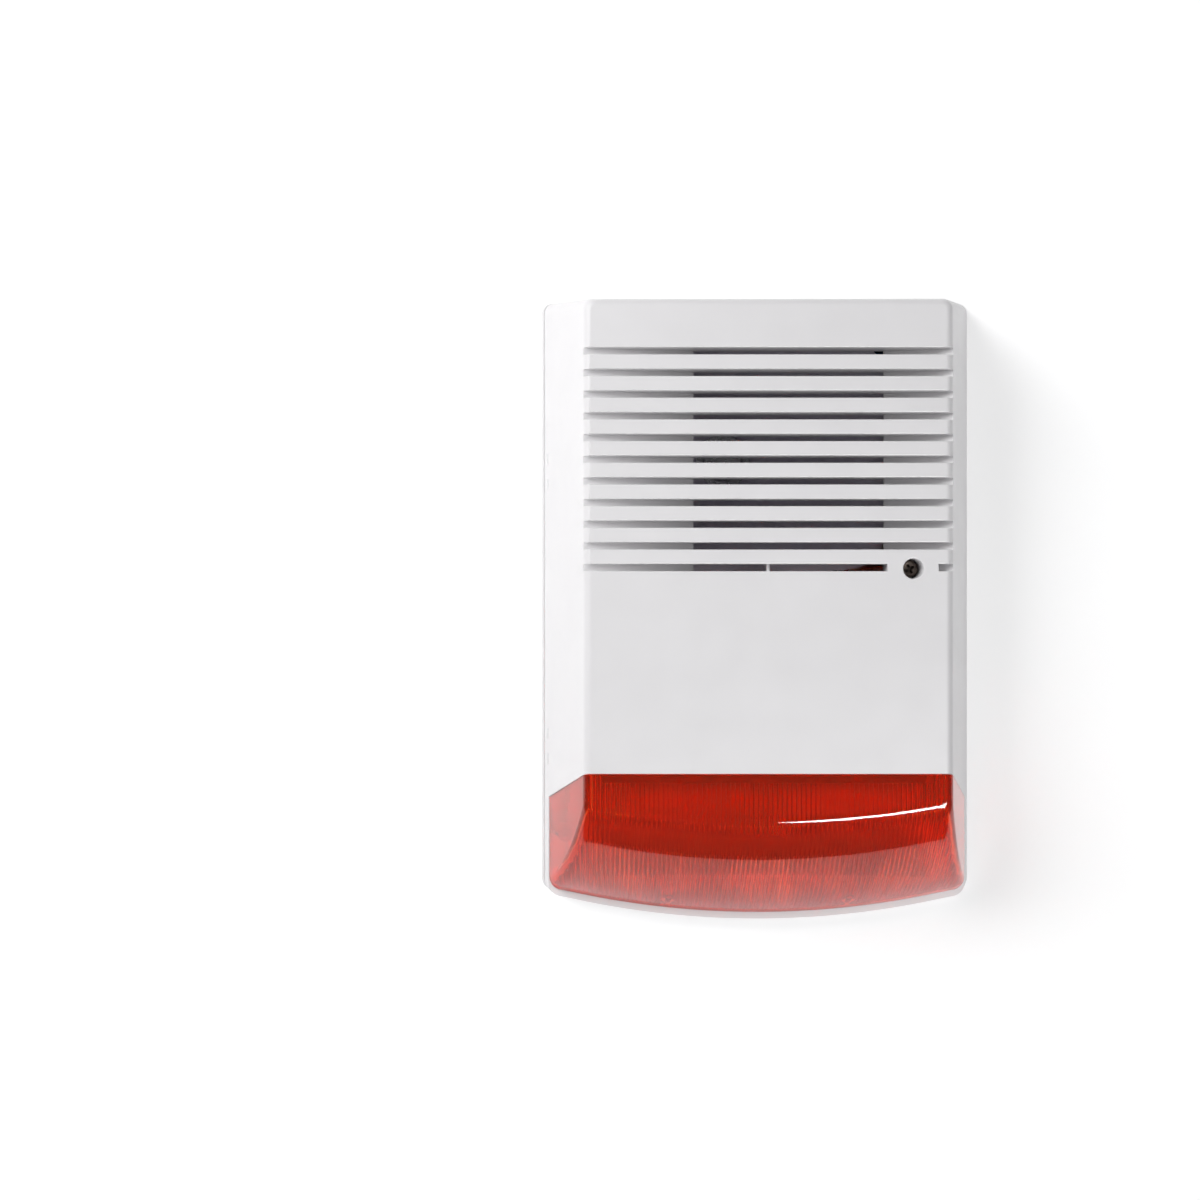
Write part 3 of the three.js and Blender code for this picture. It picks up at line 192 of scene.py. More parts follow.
def boolean(base, tools, operation):
    """base joined with, cut by or kept inside each of the tools."""
    host = bpy.data.objects.new("host", base)
    scene.collection.objects.link(host)
    helpers = []
    for tool in tools:
        helper = bpy.data.objects.new("tool", tool)
        scene.collection.objects.link(helper)
        helpers.append(helper)
        step = host.modifiers.new("step", "BOOLEAN")
        step.operation = operation
        step.solver = "MANIFOLD"
        step.object = helper
    graph = bpy.context.evaluated_depsgraph_get()
    made = bpy.data.meshes.new_from_object(host.evaluated_get(graph))
    for helper in helpers + [host]:
        bpy.data.objects.remove(helper)
    return made


def union(first, *others):
    return boolean(first, others, "UNION")


def cut(first, *others):
    return boolean(first, others, "DIFFERENCE")


def common(first, *others):
    return boolean(first, others, "INTERSECT")


def loft(sections):
    """A skin through outlines of equal point count, closed by a face at each end."""
    count = len(sections[0])
    points = [p for section in sections for p in section]
    faces = []
    for s in range(len(sections) - 1):
        for i in range(count):
            a = s * count + i
            b = s * count + (i + 1) % count
            faces.append((a, b, b + count, a + count))
    faces.append(tuple(range(count)))
    faces.append(tuple(range(len(points) - count, len(points)))[::-1])
    return closed(points, faces)


def box(x, y, z, edge=0.0):
    """A block between two places along each axis, its edges rounded if edge is given."""
    work = bmesh.new()
    bmesh.ops.create_cube(work, size=1)
    for v in work.verts:
        v.co = [
            low if c < 0 else high
            for c, (low, high) in zip(v.co, (sorted(x), sorted(y), sorted(z)))
        ]
    if edge:
        bmesh.ops.bevel(work, geom=work.edges[:], offset=edge, segments=3, affect="EDGES", profile=0.5)
    bmesh.ops.recalc_face_normals(work, faces=work.faces)
    mesh = bpy.data.meshes.new("box")
    work.to_mesh(mesh)
    work.free()
    return mesh


def spread(start, end, steps):
    return [start + (end - start) * i / steps for i in range(steps + 1)]


def quarter(steps):
    """(sine, cosine) of the turns from 0 to 90 degrees."""
    turns = [math.radians(angle) for angle in spread(0, 90, steps)]
    return [(math.sin(turn), math.cos(turn)) for turn in turns]


def circle(radius, sides):
    turns = [2 * math.pi * i / sides for i in range(sides)]
    return [(radius * math.cos(turn), radius * math.sin(turn)) for turn in turns]


def turned(x, z, profile, sides):
    """The skin of a turned shape, from (radius, depth) points along an axis away from the wall."""
    points = []
    for radius, depth in profile:
        points += [(x + u, -depth, z + v) for u, v in circle(radius, sides)]
    faces = []
    for s in range(len(profile) - 1):
        for i in range(sides):
            a = s * sides + i
            b = s * sides + (i + 1) % sides
            faces.append((a, b, b + sides, a + sides))
    return points, faces


def lathe(x, z, profile, sides=48):
    """A turned solid, closed by a flat face at each end of its profile."""
    points, faces = turned(x, z, profile, sides)
    faces.append(tuple(range(sides)))
    faces.append(tuple(range(len(points) - sides, len(points)))[::-1])
    return closed(points, faces)


def ring(x, z, section, sides=64):
    """A ring with a closed section of (radius, depth) points."""
    points, faces = turned(x, z, list(section) + [section[0]], sides)
    return closed(points, faces)


def post(x, z, back, front, radius, sides=40):
    return lathe(x, z, [(radius, back), (radius, front)], sides)


def upright(x, y, z, radius):
    """A round bar standing along Z between two heights."""
    return loft([[(x + u, y + v, height) for u, v in circle(radius, 32)] for height in z])


def roller(profile, y, z):
    """A turned bar along X, from (place, radius) points."""
    return loft([[(x, y + u, z + v) for u, v in circle(radius, 48)] for x, radius in profile])


def prism(section, x):
    """A bar along X with a section of (y, z) points."""
    return loft([[(place, y, z) for y, z in section] for place in x])


def column(section, z):
    """A bar along Z with a section of (x, y) points."""
    return loft([[(x, y, place) for x, y in section] for place in z])


def piece(name, mesh, body, slot, replaces=(), finish=None, crease=CREASE):
    """Makes a mesh a finished piece of the object on a CAD body, in its slot's finish unless told."""
    for v in mesh.vertices:
        v.co *= MM
    mesh.name = name
    mesh.polygons.foreach_set("use_smooth", [True] * len(mesh.polygons))
    mesh.set_sharp_from_angle(angle=math.radians(crease))
    mesh.materials.clear()
    mesh.materials.append(finish or FINISHES[slot])
    made = bpy.data.objects.new(name, mesh)
    scene.collection.objects.link(made)
    normals = made.modifiers.new("normals", "WEIGHTED_NORMAL")
    normals.keep_sharp = True
    normals.weight = 100
    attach(made, body)
    if replaces:
        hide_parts(*replaces)
    return made


# ------------------------------------------------------------------ materials

NOISE_LOW = 0.3
NOISE_HIGH = 0.7
GRAIN_DEPTH = 0.00003
GRAIN_STRENGTH = 0.35
MARK_SCALE = 900
MARK_DEPTH = 0.00002
MARK_STRENGTH = 0.25
METAL_VARY = 0.12
RIPPLE_DEPTH = 0.00002
RIPPLE_STRENGTH = 0.3
MOULDED_IOR = 1.53
CLEAR_IOR = 1.52


def nodes_of(name):
    material = bpy.data.materials.new(name)
    material.use_nodes = True
    tree = material.node_tree
    shader = tree.nodes["Principled BSDF"]
    return material, tree, shader


def noise(tree, scale, detail):
    """A noise pattern over the piece, scale in waves per metre."""
    place = tree.nodes.new("ShaderNodeTexCoord")
    pattern = tree.nodes.new("ShaderNodeTexNoise")
    pattern.inputs["Scale"].default_value = scale
    pattern.inputs["Detail"].default_value = detail
    tree.links.new(place.outputs["Object"], pattern.inputs["Vector"])
    return pattern.outputs["Fac"]


def ranged(tree, value, low, high):
    """A noise value, spread between low and high."""
    node = tree.nodes.new("ShaderNodeMapRange")
    node.inputs["From Min"].default_value = NOISE_LOW
    node.inputs["From Max"].default_value = NOISE_HIGH
    node.inputs["To Min"].default_value = low
    node.inputs["To Max"].default_value = high
    tree.links.new(value, node.inputs["Value"])
    return node.outputs["Result"]


def tinted(tree, value, dark, light):
    ramp = tree.nodes.new("ShaderNodeValToRGB")
    ramp.color_ramp.elements[0].position = NOISE_LOW
    ramp.color_ramp.elements[1].position = NOISE_HIGH
    ramp.color_ramp.elements[0].color = (*dark, 1)
    ramp.color_ramp.elements[1].color = (*light, 1)
    tree.links.new(value, ramp.inputs["Fac"])
    return ramp.outputs["Color"]


def bumped(tree, shader, value, distance, strength):
    bump = tree.nodes.new("ShaderNodeBump")
    bump.inputs["Distance"].default_value = distance
    bump.inputs["Strength"].default_value = strength
    tree.links.new(value, bump.inputs["Height"])
    tree.links.new(bump.outputs["Normal"], shader.inputs["Normal"])


def shade(colour, factor):
    return tuple(min(1.0, c * factor) for c in colour)


def moulded(name, colour, roughness, grain=1800, vary=0.03):
    """Moulded plastic: a fine spark-eroded texture and slightly uneven gloss and tone."""
    material, tree, shader = nodes_of(name)
    tone = tinted(tree, noise(tree, 28, 4), shade(colour, 1 - vary), shade(colour, 1 + vary))
    tree.links.new(tone, shader.inputs["Base Color"])
    gloss = ranged(tree, noise(tree, 90, 3), roughness - 0.05, roughness + 0.05)
    tree.links.new(gloss, shader.inputs["Roughness"])
    bumped(tree, shader, noise(tree, grain, 2), GRAIN_DEPTH, GRAIN_STRENGTH)
    shader.inputs["IOR"].default_value = MOULDED_IOR
    return material


def metal(name, colour, roughness):
    """Machined or plated metal with fine tool marks."""
    material, tree, shader = nodes_of(name)
    shader.inputs["Metallic"].default_value = 1.0
    dark, light = shade(colour, 1 - METAL_VARY), shade(colour, 1 + METAL_VARY)
    tree.links.new(tinted(tree, noise(tree, 160, 4), dark, light), shader.inputs["Base Color"])
    marks = noise(tree, MARK_SCALE, 3)
    tree.links.new(ranged(tree, marks, roughness - 0.08, roughness + 0.1), shader.inputs["Roughness"])
    bumped(tree, shader, marks, MARK_DEPTH, MARK_STRENGTH)
    return material


def clear_plastic(name, colour, roughness, clearness=1.0):
    """Transparent moulding: tinted right through, with a faint flow ripple."""
    material, tree, shader = nodes_of(name)
    shader.inputs["Transmission Weight"].default_value = clearness
    shader.inputs["IOR"].default_value = CLEAR_IOR
    tone = tinted(tree, noise(tree, 18, 2), shade(colour, 0.97), shade(colour, 1.03))
    tree.links.new(tone, shader.inputs["Base Color"])
    gloss = ranged(tree, noise(tree, 120, 2), roughness, roughness + 0.02)
    tree.links.new(gloss, shader.inputs["Roughness"])
    bumped(tree, shader, noise(tree, 60, 1), RIPPLE_DEPTH, RIPPLE_STRENGTH)
    return material


FINISHES = {
    "white_abs": moulded("white_abs_finish", (0.80, 0.79, 0.80), 0.42, vary=0.012),
    "red_lens": clear_plastic("red_lens_finish", (0.95, 0.08, 0.010), 0.02, clearness=0.88),
    "dark_steel": metal("dark_steel_finish", (0.16, 0.13, 0.11), 0.36),
    "bright_steel": metal("bright_steel_finish", (0.62, 0.62, 0.63), 0.3),
    "brass": metal("brass_finish", (0.72, 0.50, 0.20), 0.28),
    "rubber": moulded("rubber_finish", (0.022, 0.022, 0.024), 0.75, grain=900),
    "nylon": moulded("nylon_finish", (0.70, 0.67, 0.58), 0.5),
    "board_green": moulded("board_green_finish", (0.02, 0.12, 0.045), 0.38, vary=0.12),
    "terminal_green": moulded("terminal_green_finish", (0.03, 0.26, 0.08), 0.42),
    "black_plastic": moulded("black_plastic_finish", (0.02, 0.02, 0.022), 0.45),
    "grey_plastic": moulded("grey_plastic_finish", (0.30, 0.30, 0.32), 0.5),
    "copper": metal("copper_finish", (0.55, 0.22, 0.09), 0.3),
    "capacitor_sleeve": moulded("capacitor_sleeve_finish", (0.02, 0.03, 0.08), 0.3),
    "battery_wrap": moulded("battery_wrap_finish", (0.04, 0.14, 0.36), 0.28, grain=400),
    # the reflector's dark grey is partly its satin metal and partly painted shade, standing in for the dark
    # room a chrome reflector would mirror
    "reflector": metal("reflector_painted_shade_finish", (0.32, 0.32, 0.33), 0.5),
    "clear_resin": clear_plastic("clear_resin_finish", (0.92, 0.88, 0.82), 0.03),
    "silicone": moulded("silicone_finish", (0.42, 0.42, 0.43), 0.6, grain=600),
    "red_lead": moulded("red_lead_finish", (0.50, 0.02, 0.015), 0.42, grain=700),
    "black_lead": moulded("black_lead_finish", (0.018, 0.018, 0.018), 0.42, grain=700),
}
HORN_PLASTIC = moulded("horn_plastic_finish", (0.84, 0.80, 0.90), 0.45)
TRACK_GREEN = moulded("board_track_finish", (0.04, 0.22, 0.08), 0.3, vary=0.08)
PHOSPHOR = moulded("led_phosphor_finish", (0.85, 0.62, 0.12), 0.6)

# ------------------------------------------------------------------ the case's outer form

ARC_STEPS = 8
EDGE_STEPS = 40


def half_width(depth):
    return BACK_HALF_WIDTH + (FRONT_HALF_WIDTH - BACK_HALF_WIDTH) * depth / DEPTH


def top_at(depth):
    return BACK_TOP + (FRONT_TOP - BACK_TOP) * depth / DEPTH


def seam_at(depth):
    """Height of the seam between cover and lens, which slopes down towards the wall."""
    return SEAM_FRONT - SEAM_DROP * (DEPTH - depth) / (DEPTH - LEDGE_FRONT)


def lens_bottom(depth):
    """Lowest point of the lens at a depth."""
    return LENS_ARC_Z - math.sqrt(LENS_ARC**2 - (depth + LENS_ARC_Y) ** 2)


def swept(x, low, sweep=BOTTOM_ARC):
    """Height of the swept lower edge at x, where low is its height in the middle."""
    return low + sweep - math.sqrt(sweep**2 - x**2)


def arc(x, z, radius, start, end):
    """Points of an arc between two angles in degrees."""
    points = []
    for angle in spread(start, end, ARC_STEPS):
        turn = math.radians(angle)
        points.append((x + radius * math.cos(turn), z + radius * math.sin(turn)))
    return points


def lower_edge(half, low, radius, sweep=BOTTOM_ARC):
    """The rounded lower corners and the swept edge between them, from right to left."""
    reach = half - radius
    points = arc(reach, swept(reach, low, sweep) + radius, radius, 0, -CORNER_TURN)
    points += [(x, swept(x, low, sweep)) for x in spread(reach, -reach, EDGE_STEPS)[1:-1]]
    points += arc(-reach, swept(reach, low, sweep) + radius, radius, CORNER_TURN - 180, -180)
    return points


def case_outline(depth, inset):
    """The case's outline at a depth, set in from its outer skin, clockwise from the front."""
    half = half_width(depth) - inset
    top = top_at(depth) - inset
    radius = max(TOP_CORNER - inset, 1)
    points = arc(-half + radius, top - radius, radius, 180, 90)
    points += arc(half - radius, top - radius, radius, 90, 0)
    points += lower_edge(half, RIM_BOTTOM + inset, max(BOTTOM_CORNER - inset, 1), BOTTOM_ARC - inset)
    return [(x, -depth, z) for x, z in points]


def case_block(back, front, inset):
    """The case between two depths, set in from its outer skin."""
    return loft([case_outline(back, inset), case_outline(front, inset)])


def lens_outline(depth, inset, top, low):
    """The lens's outline at a depth, cut square at the top."""
    half = half_width(depth) - inset
    points = [(-half, top), (half, top)]
    points += lower_edge(half, low, max(BOTTOM_CORNER - inset, 1))
    return [(x, -depth, z) for x, z in points]


def front_rounding():
    """(depth below the front face, inset) along the quarter round of the front edge."""
    turns = quarter(ARC_STEPS)
    return [(EDGE_FILLET * (1 - sine), EDGE_FILLET * (1 - cosine)) for sine, cosine in turns]


# ------------------------------------------------------------------ front cover


def slot_floor(x):
    """Depth of the slots' floor line below the front face."""
    for (start, first), (end, last) in zip(SLOT_LINE, SLOT_LINE[1:]):
        if x <= end:
            return first + (last - first) * (x - start) / (end - start)
    return SLOT_LINE[-1][1]


def floor_stops(start, end):
    """Places along X where the slots' floor line bends, with both ends."""
    return [start] + [x for x, _ in SLOT_LINE if start < x < end] + [end]


def louvre_block():
    """The thick wall behind the slots, whose back follows their floor."""
    half = SLOT_HALF_LENGTH - LOUVRE_END
    back = [(x, -DEPTH + slot_floor(x) + SLOT_FLOOR) for x in floor_stops(-half, half)[::-1]]
    front = -DEPTH + WALL - LOUVRE_OVERLAP
    margin = SLOT_HEIGHT / 2 + LOUVRE_MARGIN
    low = SLOT_TOP - SLOT_PITCH * (SLOTS - 1) - margin
    return column([(half, front)] + back + [(-half, front)], (low, SLOT_TOP + margin))


def slot_cutter(start, end, z):
    """One louvre slot: rounded lips, ramps that run out at the ends, open in the middle."""
    through = slot_floor(0) + SLOT_FLOOR + 1
    half = SLOT_HEIGHT / 2
    lip = [(half + SLOT_LIP * (1 - sine), SLOT_LIP * (1 - cosine)) for sine, cosine in quarter(5)]

    def section(x, floor):
        side = lip + [(half, floor)]
        outline = [(z + dz, depth) for dz, depth in side]
        outline += [(z - dz, depth) for dz, depth in reversed(side)]
        outline += [(z - half - SLOT_LIP, -2), (z + half + SLOT_LIP, -2)]
        return [(x, -DEPTH + depth, height) for height, depth in outline]

    left = max(start, SLOT_OPEN[0])
    right = min(end, SLOT_OPEN[1])
    sections = []
    if start < left:
        sections += [section(x, slot_floor(x)) for x in floor_stops(start, left)]
    if left < right:
        sections += [section(left + SLOT_STEP, through), section(right - SLOT_STEP, through)]
    if right < end:
        sections += [section(x, slot_floor(x)) for x in floor_stops(max(start, right), end)]
    return loft(sections)


def slot_cutters():
    cutters = []
    for i in range(SLOTS - 1):
        cutters.append(slot_cutter(-SLOT_HALF_LENGTH, SLOT_HALF_LENGTH, SLOT_TOP - SLOT_PITCH * i))
    lowest = SLOT_TOP - SLOT_PITCH * (SLOTS - 1)
    cutters.append(slot_cutter(-SLOT_HALF_LENGTH, -WEB_WIDTH / 2, lowest))
    cutters.append(slot_cutter(WEB_WIDTH / 2, SLOT_BRIDGE[0], lowest))
    cutters.append(slot_cutter(SLOT_BRIDGE[1], SLOT_HALF_LENGTH, lowest))
    over_web = (-DEPTH - 1, -DEPTH + WEB_DEPTH)
    height = (lowest - SLOT_HEIGHT / 2, lowest + SLOT_HEIGHT / 2)
    cutters.append(box((-WEB_WIDTH, WEB_WIDTH), over_web, height))
    return cutters


def above_seam(offset):
    """All that lies above the line where the cover meets the lens."""
    back = COVER_REAR - 1
    front = DEPTH + 1
    section = [
        (-back, seam_at(back) + offset),
        (-back, BACK_TOP + 5),
        (-front, BACK_TOP + 5),
        (-front, seam_at(front) + offset),
    ]
    return prism(section, ACROSS)


def cover_shell():
    """The cover's outer skin, hollowed, with the ledge that carries the lens."""
    rounded = [case_outline(DEPTH - d, inset) for d, inset in front_rounding()]
    block = loft([case_outline(COVER_REAR, 0)] + rounded)
    lens_space = prism(
        [
            (-LEDGE_FRONT, seam_at(LEDGE_FRONT)),
            (-DEPTH - 1, seam_at(DEPTH + 1)),
            (-DEPTH - 1, RIM_BOTTOM - 5),
            (-LEDGE_FRONT, RIM_BOTTOM - 5),
        ],
        ACROSS,
    )
    rim_hollow = case_block(COVER_REAR - 1, LEDGE_BACK, WALL)
    upper_hollow = common(case_block(LEDGE_BACK - 0.5, DEPTH - WALL, WALL), above_seam(-1))
    ledge_opening = case_block(LEDGE_BACK - 0.5, LEDGE_FRONT + 0.5, LEDGE_INSET)
    hinge_relief = box((-110, HINGE_X + 1), (-HINGE_SIDE_REAR, 1), ALONG)
    return cut(block, lens_space, rim_hollow, upper_hollow, ledge_opening, hinge_relief)


def cover_lugs():
    """Hinge lugs above and below each ear of the base."""
    lugs = []
    for z in HINGE_HEIGHTS:
        for side in (1, -1):
            near = z + side * (HINGE_EAR / 2 + GAP)
            height = sorted((near, near + side * HINGE_LUG))
            lugs.append(upright(HINGE_X, HINGE_Y, height, LUG_RADIUS))
            arm = (HINGE_Y - LUG_RADIUS, HINGE_Y + LUG_ARM_FRONT)
            lugs.append(box((HINGE_X - LUG_ARM, HINGE_X), arm, height))
    return lugs


def lens_ears():
    """The cover's ears behind the lens posts."""
    ears = []
    for x, z in LENS_SCREWS:
        depth = (-LEDGE_FRONT, -LEDGE_BACK)
        half = LENS_EAR_RADIUS
        if abs(x) > LENS_SCREW_AT_SIDE:
            tab = box((x, x + math.copysign(LENS_EAR_REACH, x)), depth, (z - half, z + half))
        else:
            tab = box((x - half, x + half), depth, (z - LENS_EAR_REACH, z))
        ears += [post(x, z, LEDGE_BACK, LEDGE_FRONT, half), tab]
    return ears


def screw_mouth():
    """The screw's access hole, its lip rounded."""
    radius = SCREW_HOLE_RADIUS
    lip = SCREW_HOLE_LIP
    profile = [(radius, SCREW_SEAT)]
    for sine, cosine in quarter(5):
        profile.append((radius + lip * (1 - cosine), DEPTH - lip * (1 - sine)))
    profile.append((radius + lip, DEPTH + 2))
    return lathe(SCREW_X, SCREW_Z, profile, 64)


def front_cover():
    shell = cut(union(cover_shell(), louvre_block()), *slot_cutters())
    well = post(SCREW_X, SCREW_Z, BOSS_FRONT + GAP, DEPTH - 1, WELL_RADIUS, 56)
    tamper_post = post(TAMPER_X, TAMPER_Z, PLUNGER_FRONT + GAP, DEPTH - 1, TAMPER_POST_RADIUS)
    body = union(shell, *cover_lugs(), well, tamper_post, *lens_ears())
    reach = HINGE_EAR / 2 + GAP + HINGE_LUG + 1
    half = HINGE_EAR / 2 + GAP
    holes = [screw_mouth(), post(SCREW_X, SCREW_Z, BOSS_FRONT, SCREW_SEAT + 1, SCREW_RADIUS + 0.3)]
    for z in HINGE_HEIGHTS:
        holes.append(upright(HINGE_X, HINGE_Y, (z - reach, z + reach), HINGE_BORE_RADIUS))
        holes.append(upright(HINGE_X, HINGE_Y, (z - half, z + half), HINGE_EAR_RADIUS + GAP))
    for x, z in LENS_SCREWS:
        holes.append(post(x, z, LEDGE_BACK - 1, LEDGE_FRONT + 1, CLEARANCE_RADIUS))
    piece("cover_shell", cut(body, *holes), "cover", "white_abs", ["front_cover"])


# ------------------------------------------------------------------ beacon lens


def flute(x):
    """Height of the inner ribs at x: round ribs side by side, flat beyond the frame strips."""
    if abs(x) > FRONT_HALF_WIDTH + FLUTE_REACH:
        return 0.0
    along = (x / FLUTE_PITCH) % 1.0
    return FLUTE_HEIGHT * math.sqrt(max(0.0, 1 - (2 * along - 1) ** 2))


def inner_profile(thickness):
    """(depth, lift) points of the lens's inner face, round the front corner and back to the rim."""
    front = DEPTH - thickness
    back = front - LENS_INNER_CORNER
    points = []
    for sine, cosine in quarter(6):
        points.append((front - LENS_INNER_CORNER * (1 - cosine), LENS_INNER_CORNER * (1 - sine)))
    return points + [(depth, 0.0) for depth in spread(back, LENS_REAR - 1, 16)[1:]]


def fluted_hollow():
    """The hollow behind the lens's ribs: a block whose front and lower faces carry the ribs."""
    half = half_width(LENS_REAR) + 4
    columns = round(2 * half / FLUTE_PITCH) * FLUTE_STEPS
    sections = []
    for x in spread(-half, half, columns):
        thickness = WALL + flute(x)
        section = [(x, -(LENS_REAR - 1), LENS_TOP), (x, -(DEPTH - thickness), LENS_TOP)]
        for depth, lift in inner_profile(thickness):
            base = lens_bottom(max(depth, LENS_REAR)) + thickness * LENS_FLOOR_SLOPE
            section.append((x, -depth, swept(min(abs(x), BACK_HALF_WIDTH), base) + lift))
        sections.append(section)
    return loft(sections)


def lens_hollow():
    """The lens's hollow: the ribbed block kept inside its own side walls."""
    sides = []
    for depth in (LENS_REAR - 1, 24, 36, 48, DEPTH - WALL + 0.001):
        low = lens_bottom(max(depth, LENS_REAR)) + WALL * LENS_FLOOR_SLOPE - 0.05
        sides.append(lens_outline(depth, WALL, LENS_TOP, low))
    return common(fluted_hollow(), loft(sides))


def lens_skin():
    """The lens's outer form, with its lower front edge rounded."""
    sections = []
    for depth in spread(LENS_REAR, DEPTH - EDGE_FILLET, 20):
        sections.append(lens_outline(depth, 0, seam_at(depth) - GAP, lens_bottom(depth)))
    for drop, inset in front_rounding()[1:]:
        depth = DEPTH - drop
        low = lens_bottom(depth) + 0.75 * inset
        sections.append(lens_outline(depth, inset, seam_at(depth) - GAP, low))
    return loft(sections)


def strobe_lens():
    skin = lens_skin()
    width = (-LENS_LIP_HALF_WIDTH, LENS_LIP_HALF_WIDTH)
    back = -DEPTH + WALL + LENS_LIP_THICKNESS
    flange = box(width, (-DEPTH + WALL + GAP, back), (LENS_LIP_BOTTOM, LENS_TOP))
    step = box(width, (-DEPTH + 1, back), (LENS_LIP_BOTTOM, LENS_SEAM_TOP))
    posts = []
    pilots = []
    for x, z in LENS_SCREWS:
        depth = (-LENS_POST_FRONT, -LENS_REAR)
        half = LENS_RIB_HALF
        if abs(x) > LENS_SCREW_AT_SIDE:
            rib = box((x, x + math.copysign(LENS_RIB_REACH, x)), depth, (z - half, z + half))
        else:
            rib = box((x - half, x + half), depth, (z - LENS_RIB_REACH, z))
        screw_post = post(x, z, LENS_REAR, LENS_POST_FRONT, LENS_POST_RADIUS)
        posts.append(common(union(screw_post, rib), lens_skin()))
        pilots.append(post(x, z, LENS_REAR - 1, LENS_PILOT_FRONT, LENS_PILOT_RADIUS, 20))
    shell = cut(skin, lens_hollow())
    body = cut(union(shell, *posts, flange, step), *pilots)
    piece("beacon_lens", body, "cover", "red_lens", ["strobe_lens"], crease=LENS_CREASE)


# ------------------------------------------------------------------ places of the inner pieces


def middle(node):
    """Centre of a CAD node seen from the front."""
    low, high = node_box(node)
    return (low.x + high.x) / 2, (low.z + high.z) / 2


def depths(node):
    """Depth of a CAD node's back and front."""
    low, high = node_box(node)
    return -high.y, -low.y


def half_across(node):
    low, high = node_box(node)
    return (high.x - low.x) / 2


def block_of(node, edge):
    """A block over the whole of a CAD node, its edges rounded."""
    low, high = node_box(node)
    return box((low.x, high.x), (low.y, high.y), (low.z, high.z), edge)


HORN_X, HORN_Z = middle("siren_driver")
HORN_BACK, HORN_MOUTH = depths("siren_horn")
HORN_LOW, HORN_HIGH = node_box("siren_horn")
HORN_WALL = 2
HORN_FLANGE = 2.5
HORN_THROAT = 12
FLARE_POINTS = 96
HORN_SCREWS = [f"horn_screw_{i}" for i in range(1, 5)]
BOARD_SCREWS = [f"board_screw_{i}" for i in range(1, 5)]
CLAMP_SCREWS = ["clamp_screw_left", "clamp_screw_right"]
STROBE_SCREWS = ["strobe_screw_left", "strobe_screw_right"]
TERMINAL_SCREWS = [f"terminal_screw_{i}" for i in range(1, 5)]
LEDS = [f"strobe_led_{i}" for i in range(1, 4)]
HEADERS = ["battery_header", "siren_header", "strobe_header"]
BATTERY_LOW, BATTERY_HIGH = node_box("backup_battery")
BOARD_LOW, BOARD_HIGH = node_box("circuit_board")
BOARD_FRONT = -BOARD_LOW.y
STROBE_Z = middle("strobe_board")[1]
CABLE_X, CABLE_Z = middle("cable_grommet")
CABLE_HOLE = 10
PLATE = 2.2
BEAD_HEIGHT = 3
BEAD_WIDTH = 1.4
WEIR_INSET = 12
WEIR_WIDTH = 2
WEIR_HEIGHT = 9
WEIR_LOW_HEIGHT = 5
WEIR_STEP = -88
WALL_HOLES = ((-66, 120), (66, 120), (-66, -68), (66, -68))
PILOT = 1.2
SCREW_SHANK = 1.1
SCREW_HEAD = 2
FIRST_TURN = 12
TURN_STEP = 23
COVER_SCREW_HEAD = 2.8
COVER_SCREW_TURN = 27
THREAD_PITCH = 0.7
KNURL_POINTS = 96
KNURL_DEPTH = 0.25
KNURL_RELIEF = 0.2
KEYHOLE_DROP = 6
KEYHOLE_SLOT = 2.4
KEYHOLE_HEAD = 4.6
OBLONG_HALF = 3
OBLONG_RADIUS = 2.5
INSERT_HOLE_RADIUS = 4.6
PILOT_BACK = 3.5
GUSSET_REACH = 12
GUSSET_FRONT = 34
PIN_PITCH = 2.54
HALF_PITCH = PIN_PITCH / 2
TERMINAL_PITCH = 5.08
TRACK_HALF = 0.45
TRACK_RAISE = 0.06
PAD_RAISE = 0.08
SUNK = 0.2
PAD_PLACES = ((36, -36), (36, -16), (-62, -14), (-62, -30), (12, -18), (-20, -30), (-42, -36))
COIL_START = 12.05
COIL_END = 19.9
COIL_TURNS = 11
COIL_RADIUS = 6
COIL_WIRE = 0.35
CELLS = 6
SPRING_WIRE = 0.4
SPRING_TURNS = 4
LED_RADIUS = 2.5
REFLECTOR_THICK = 1.2
REFLECTOR_FLOOR = 14.2
LEAD_RADIUS = 0.8
STROBE_LEAD_RADIUS = 1.2

# ------------------------------------------------------------------ fasteners


def cross_bits(x, z, floor, top, reach, width, turn):
    """The two arms of a cross-head driver recess, narrower towards the floor."""
    arms = []
    for quarter in (0, 90):
        angle = math.radians(turn + quarter)
        c, s = math.cos(angle), math.sin(angle)
        sections = []
        for depth, scale in ((floor, 0.4), (top, 1.0)):
            a = reach * scale
            b = width * (0.6 + 0.4 * scale) / 2
            corners = ((-a, -b), (a, -b), (a, b), (-a, b))
            sections.append([(x + c * u - s * v, -depth, z + s * u + c * v) for u, v in corners])
        arms.append(loft(sections))
    return arms


def screw_mesh(x, z, seat, tip, head, shank, height, pitch, turn):
    """A pan-head screw that faces the front."""
    profile = [(shank * 0.3, tip)]
    depth = tip + shank * 0.6
    while depth + pitch < seat - 1:
        profile += [(shank, depth), (shank * 0.82, depth + pitch / 2)]
        depth += pitch
    profile += [(shank, depth), (shank, seat), (head * 0.97, seat), (head, seat + height * 0.08)]
    for sine, cosine in quarter(7):
        profile.append((head * (0.58 + 0.42 * cosine), seat + height * (0.35 + 0.65 * sine)))
    top = seat + height + 0.5
    bits = cross_bits(x, z, seat + height * 0.25, top, head * 0.62, head * 0.3, turn)
    return cut(lathe(x, z, profile), *bits)


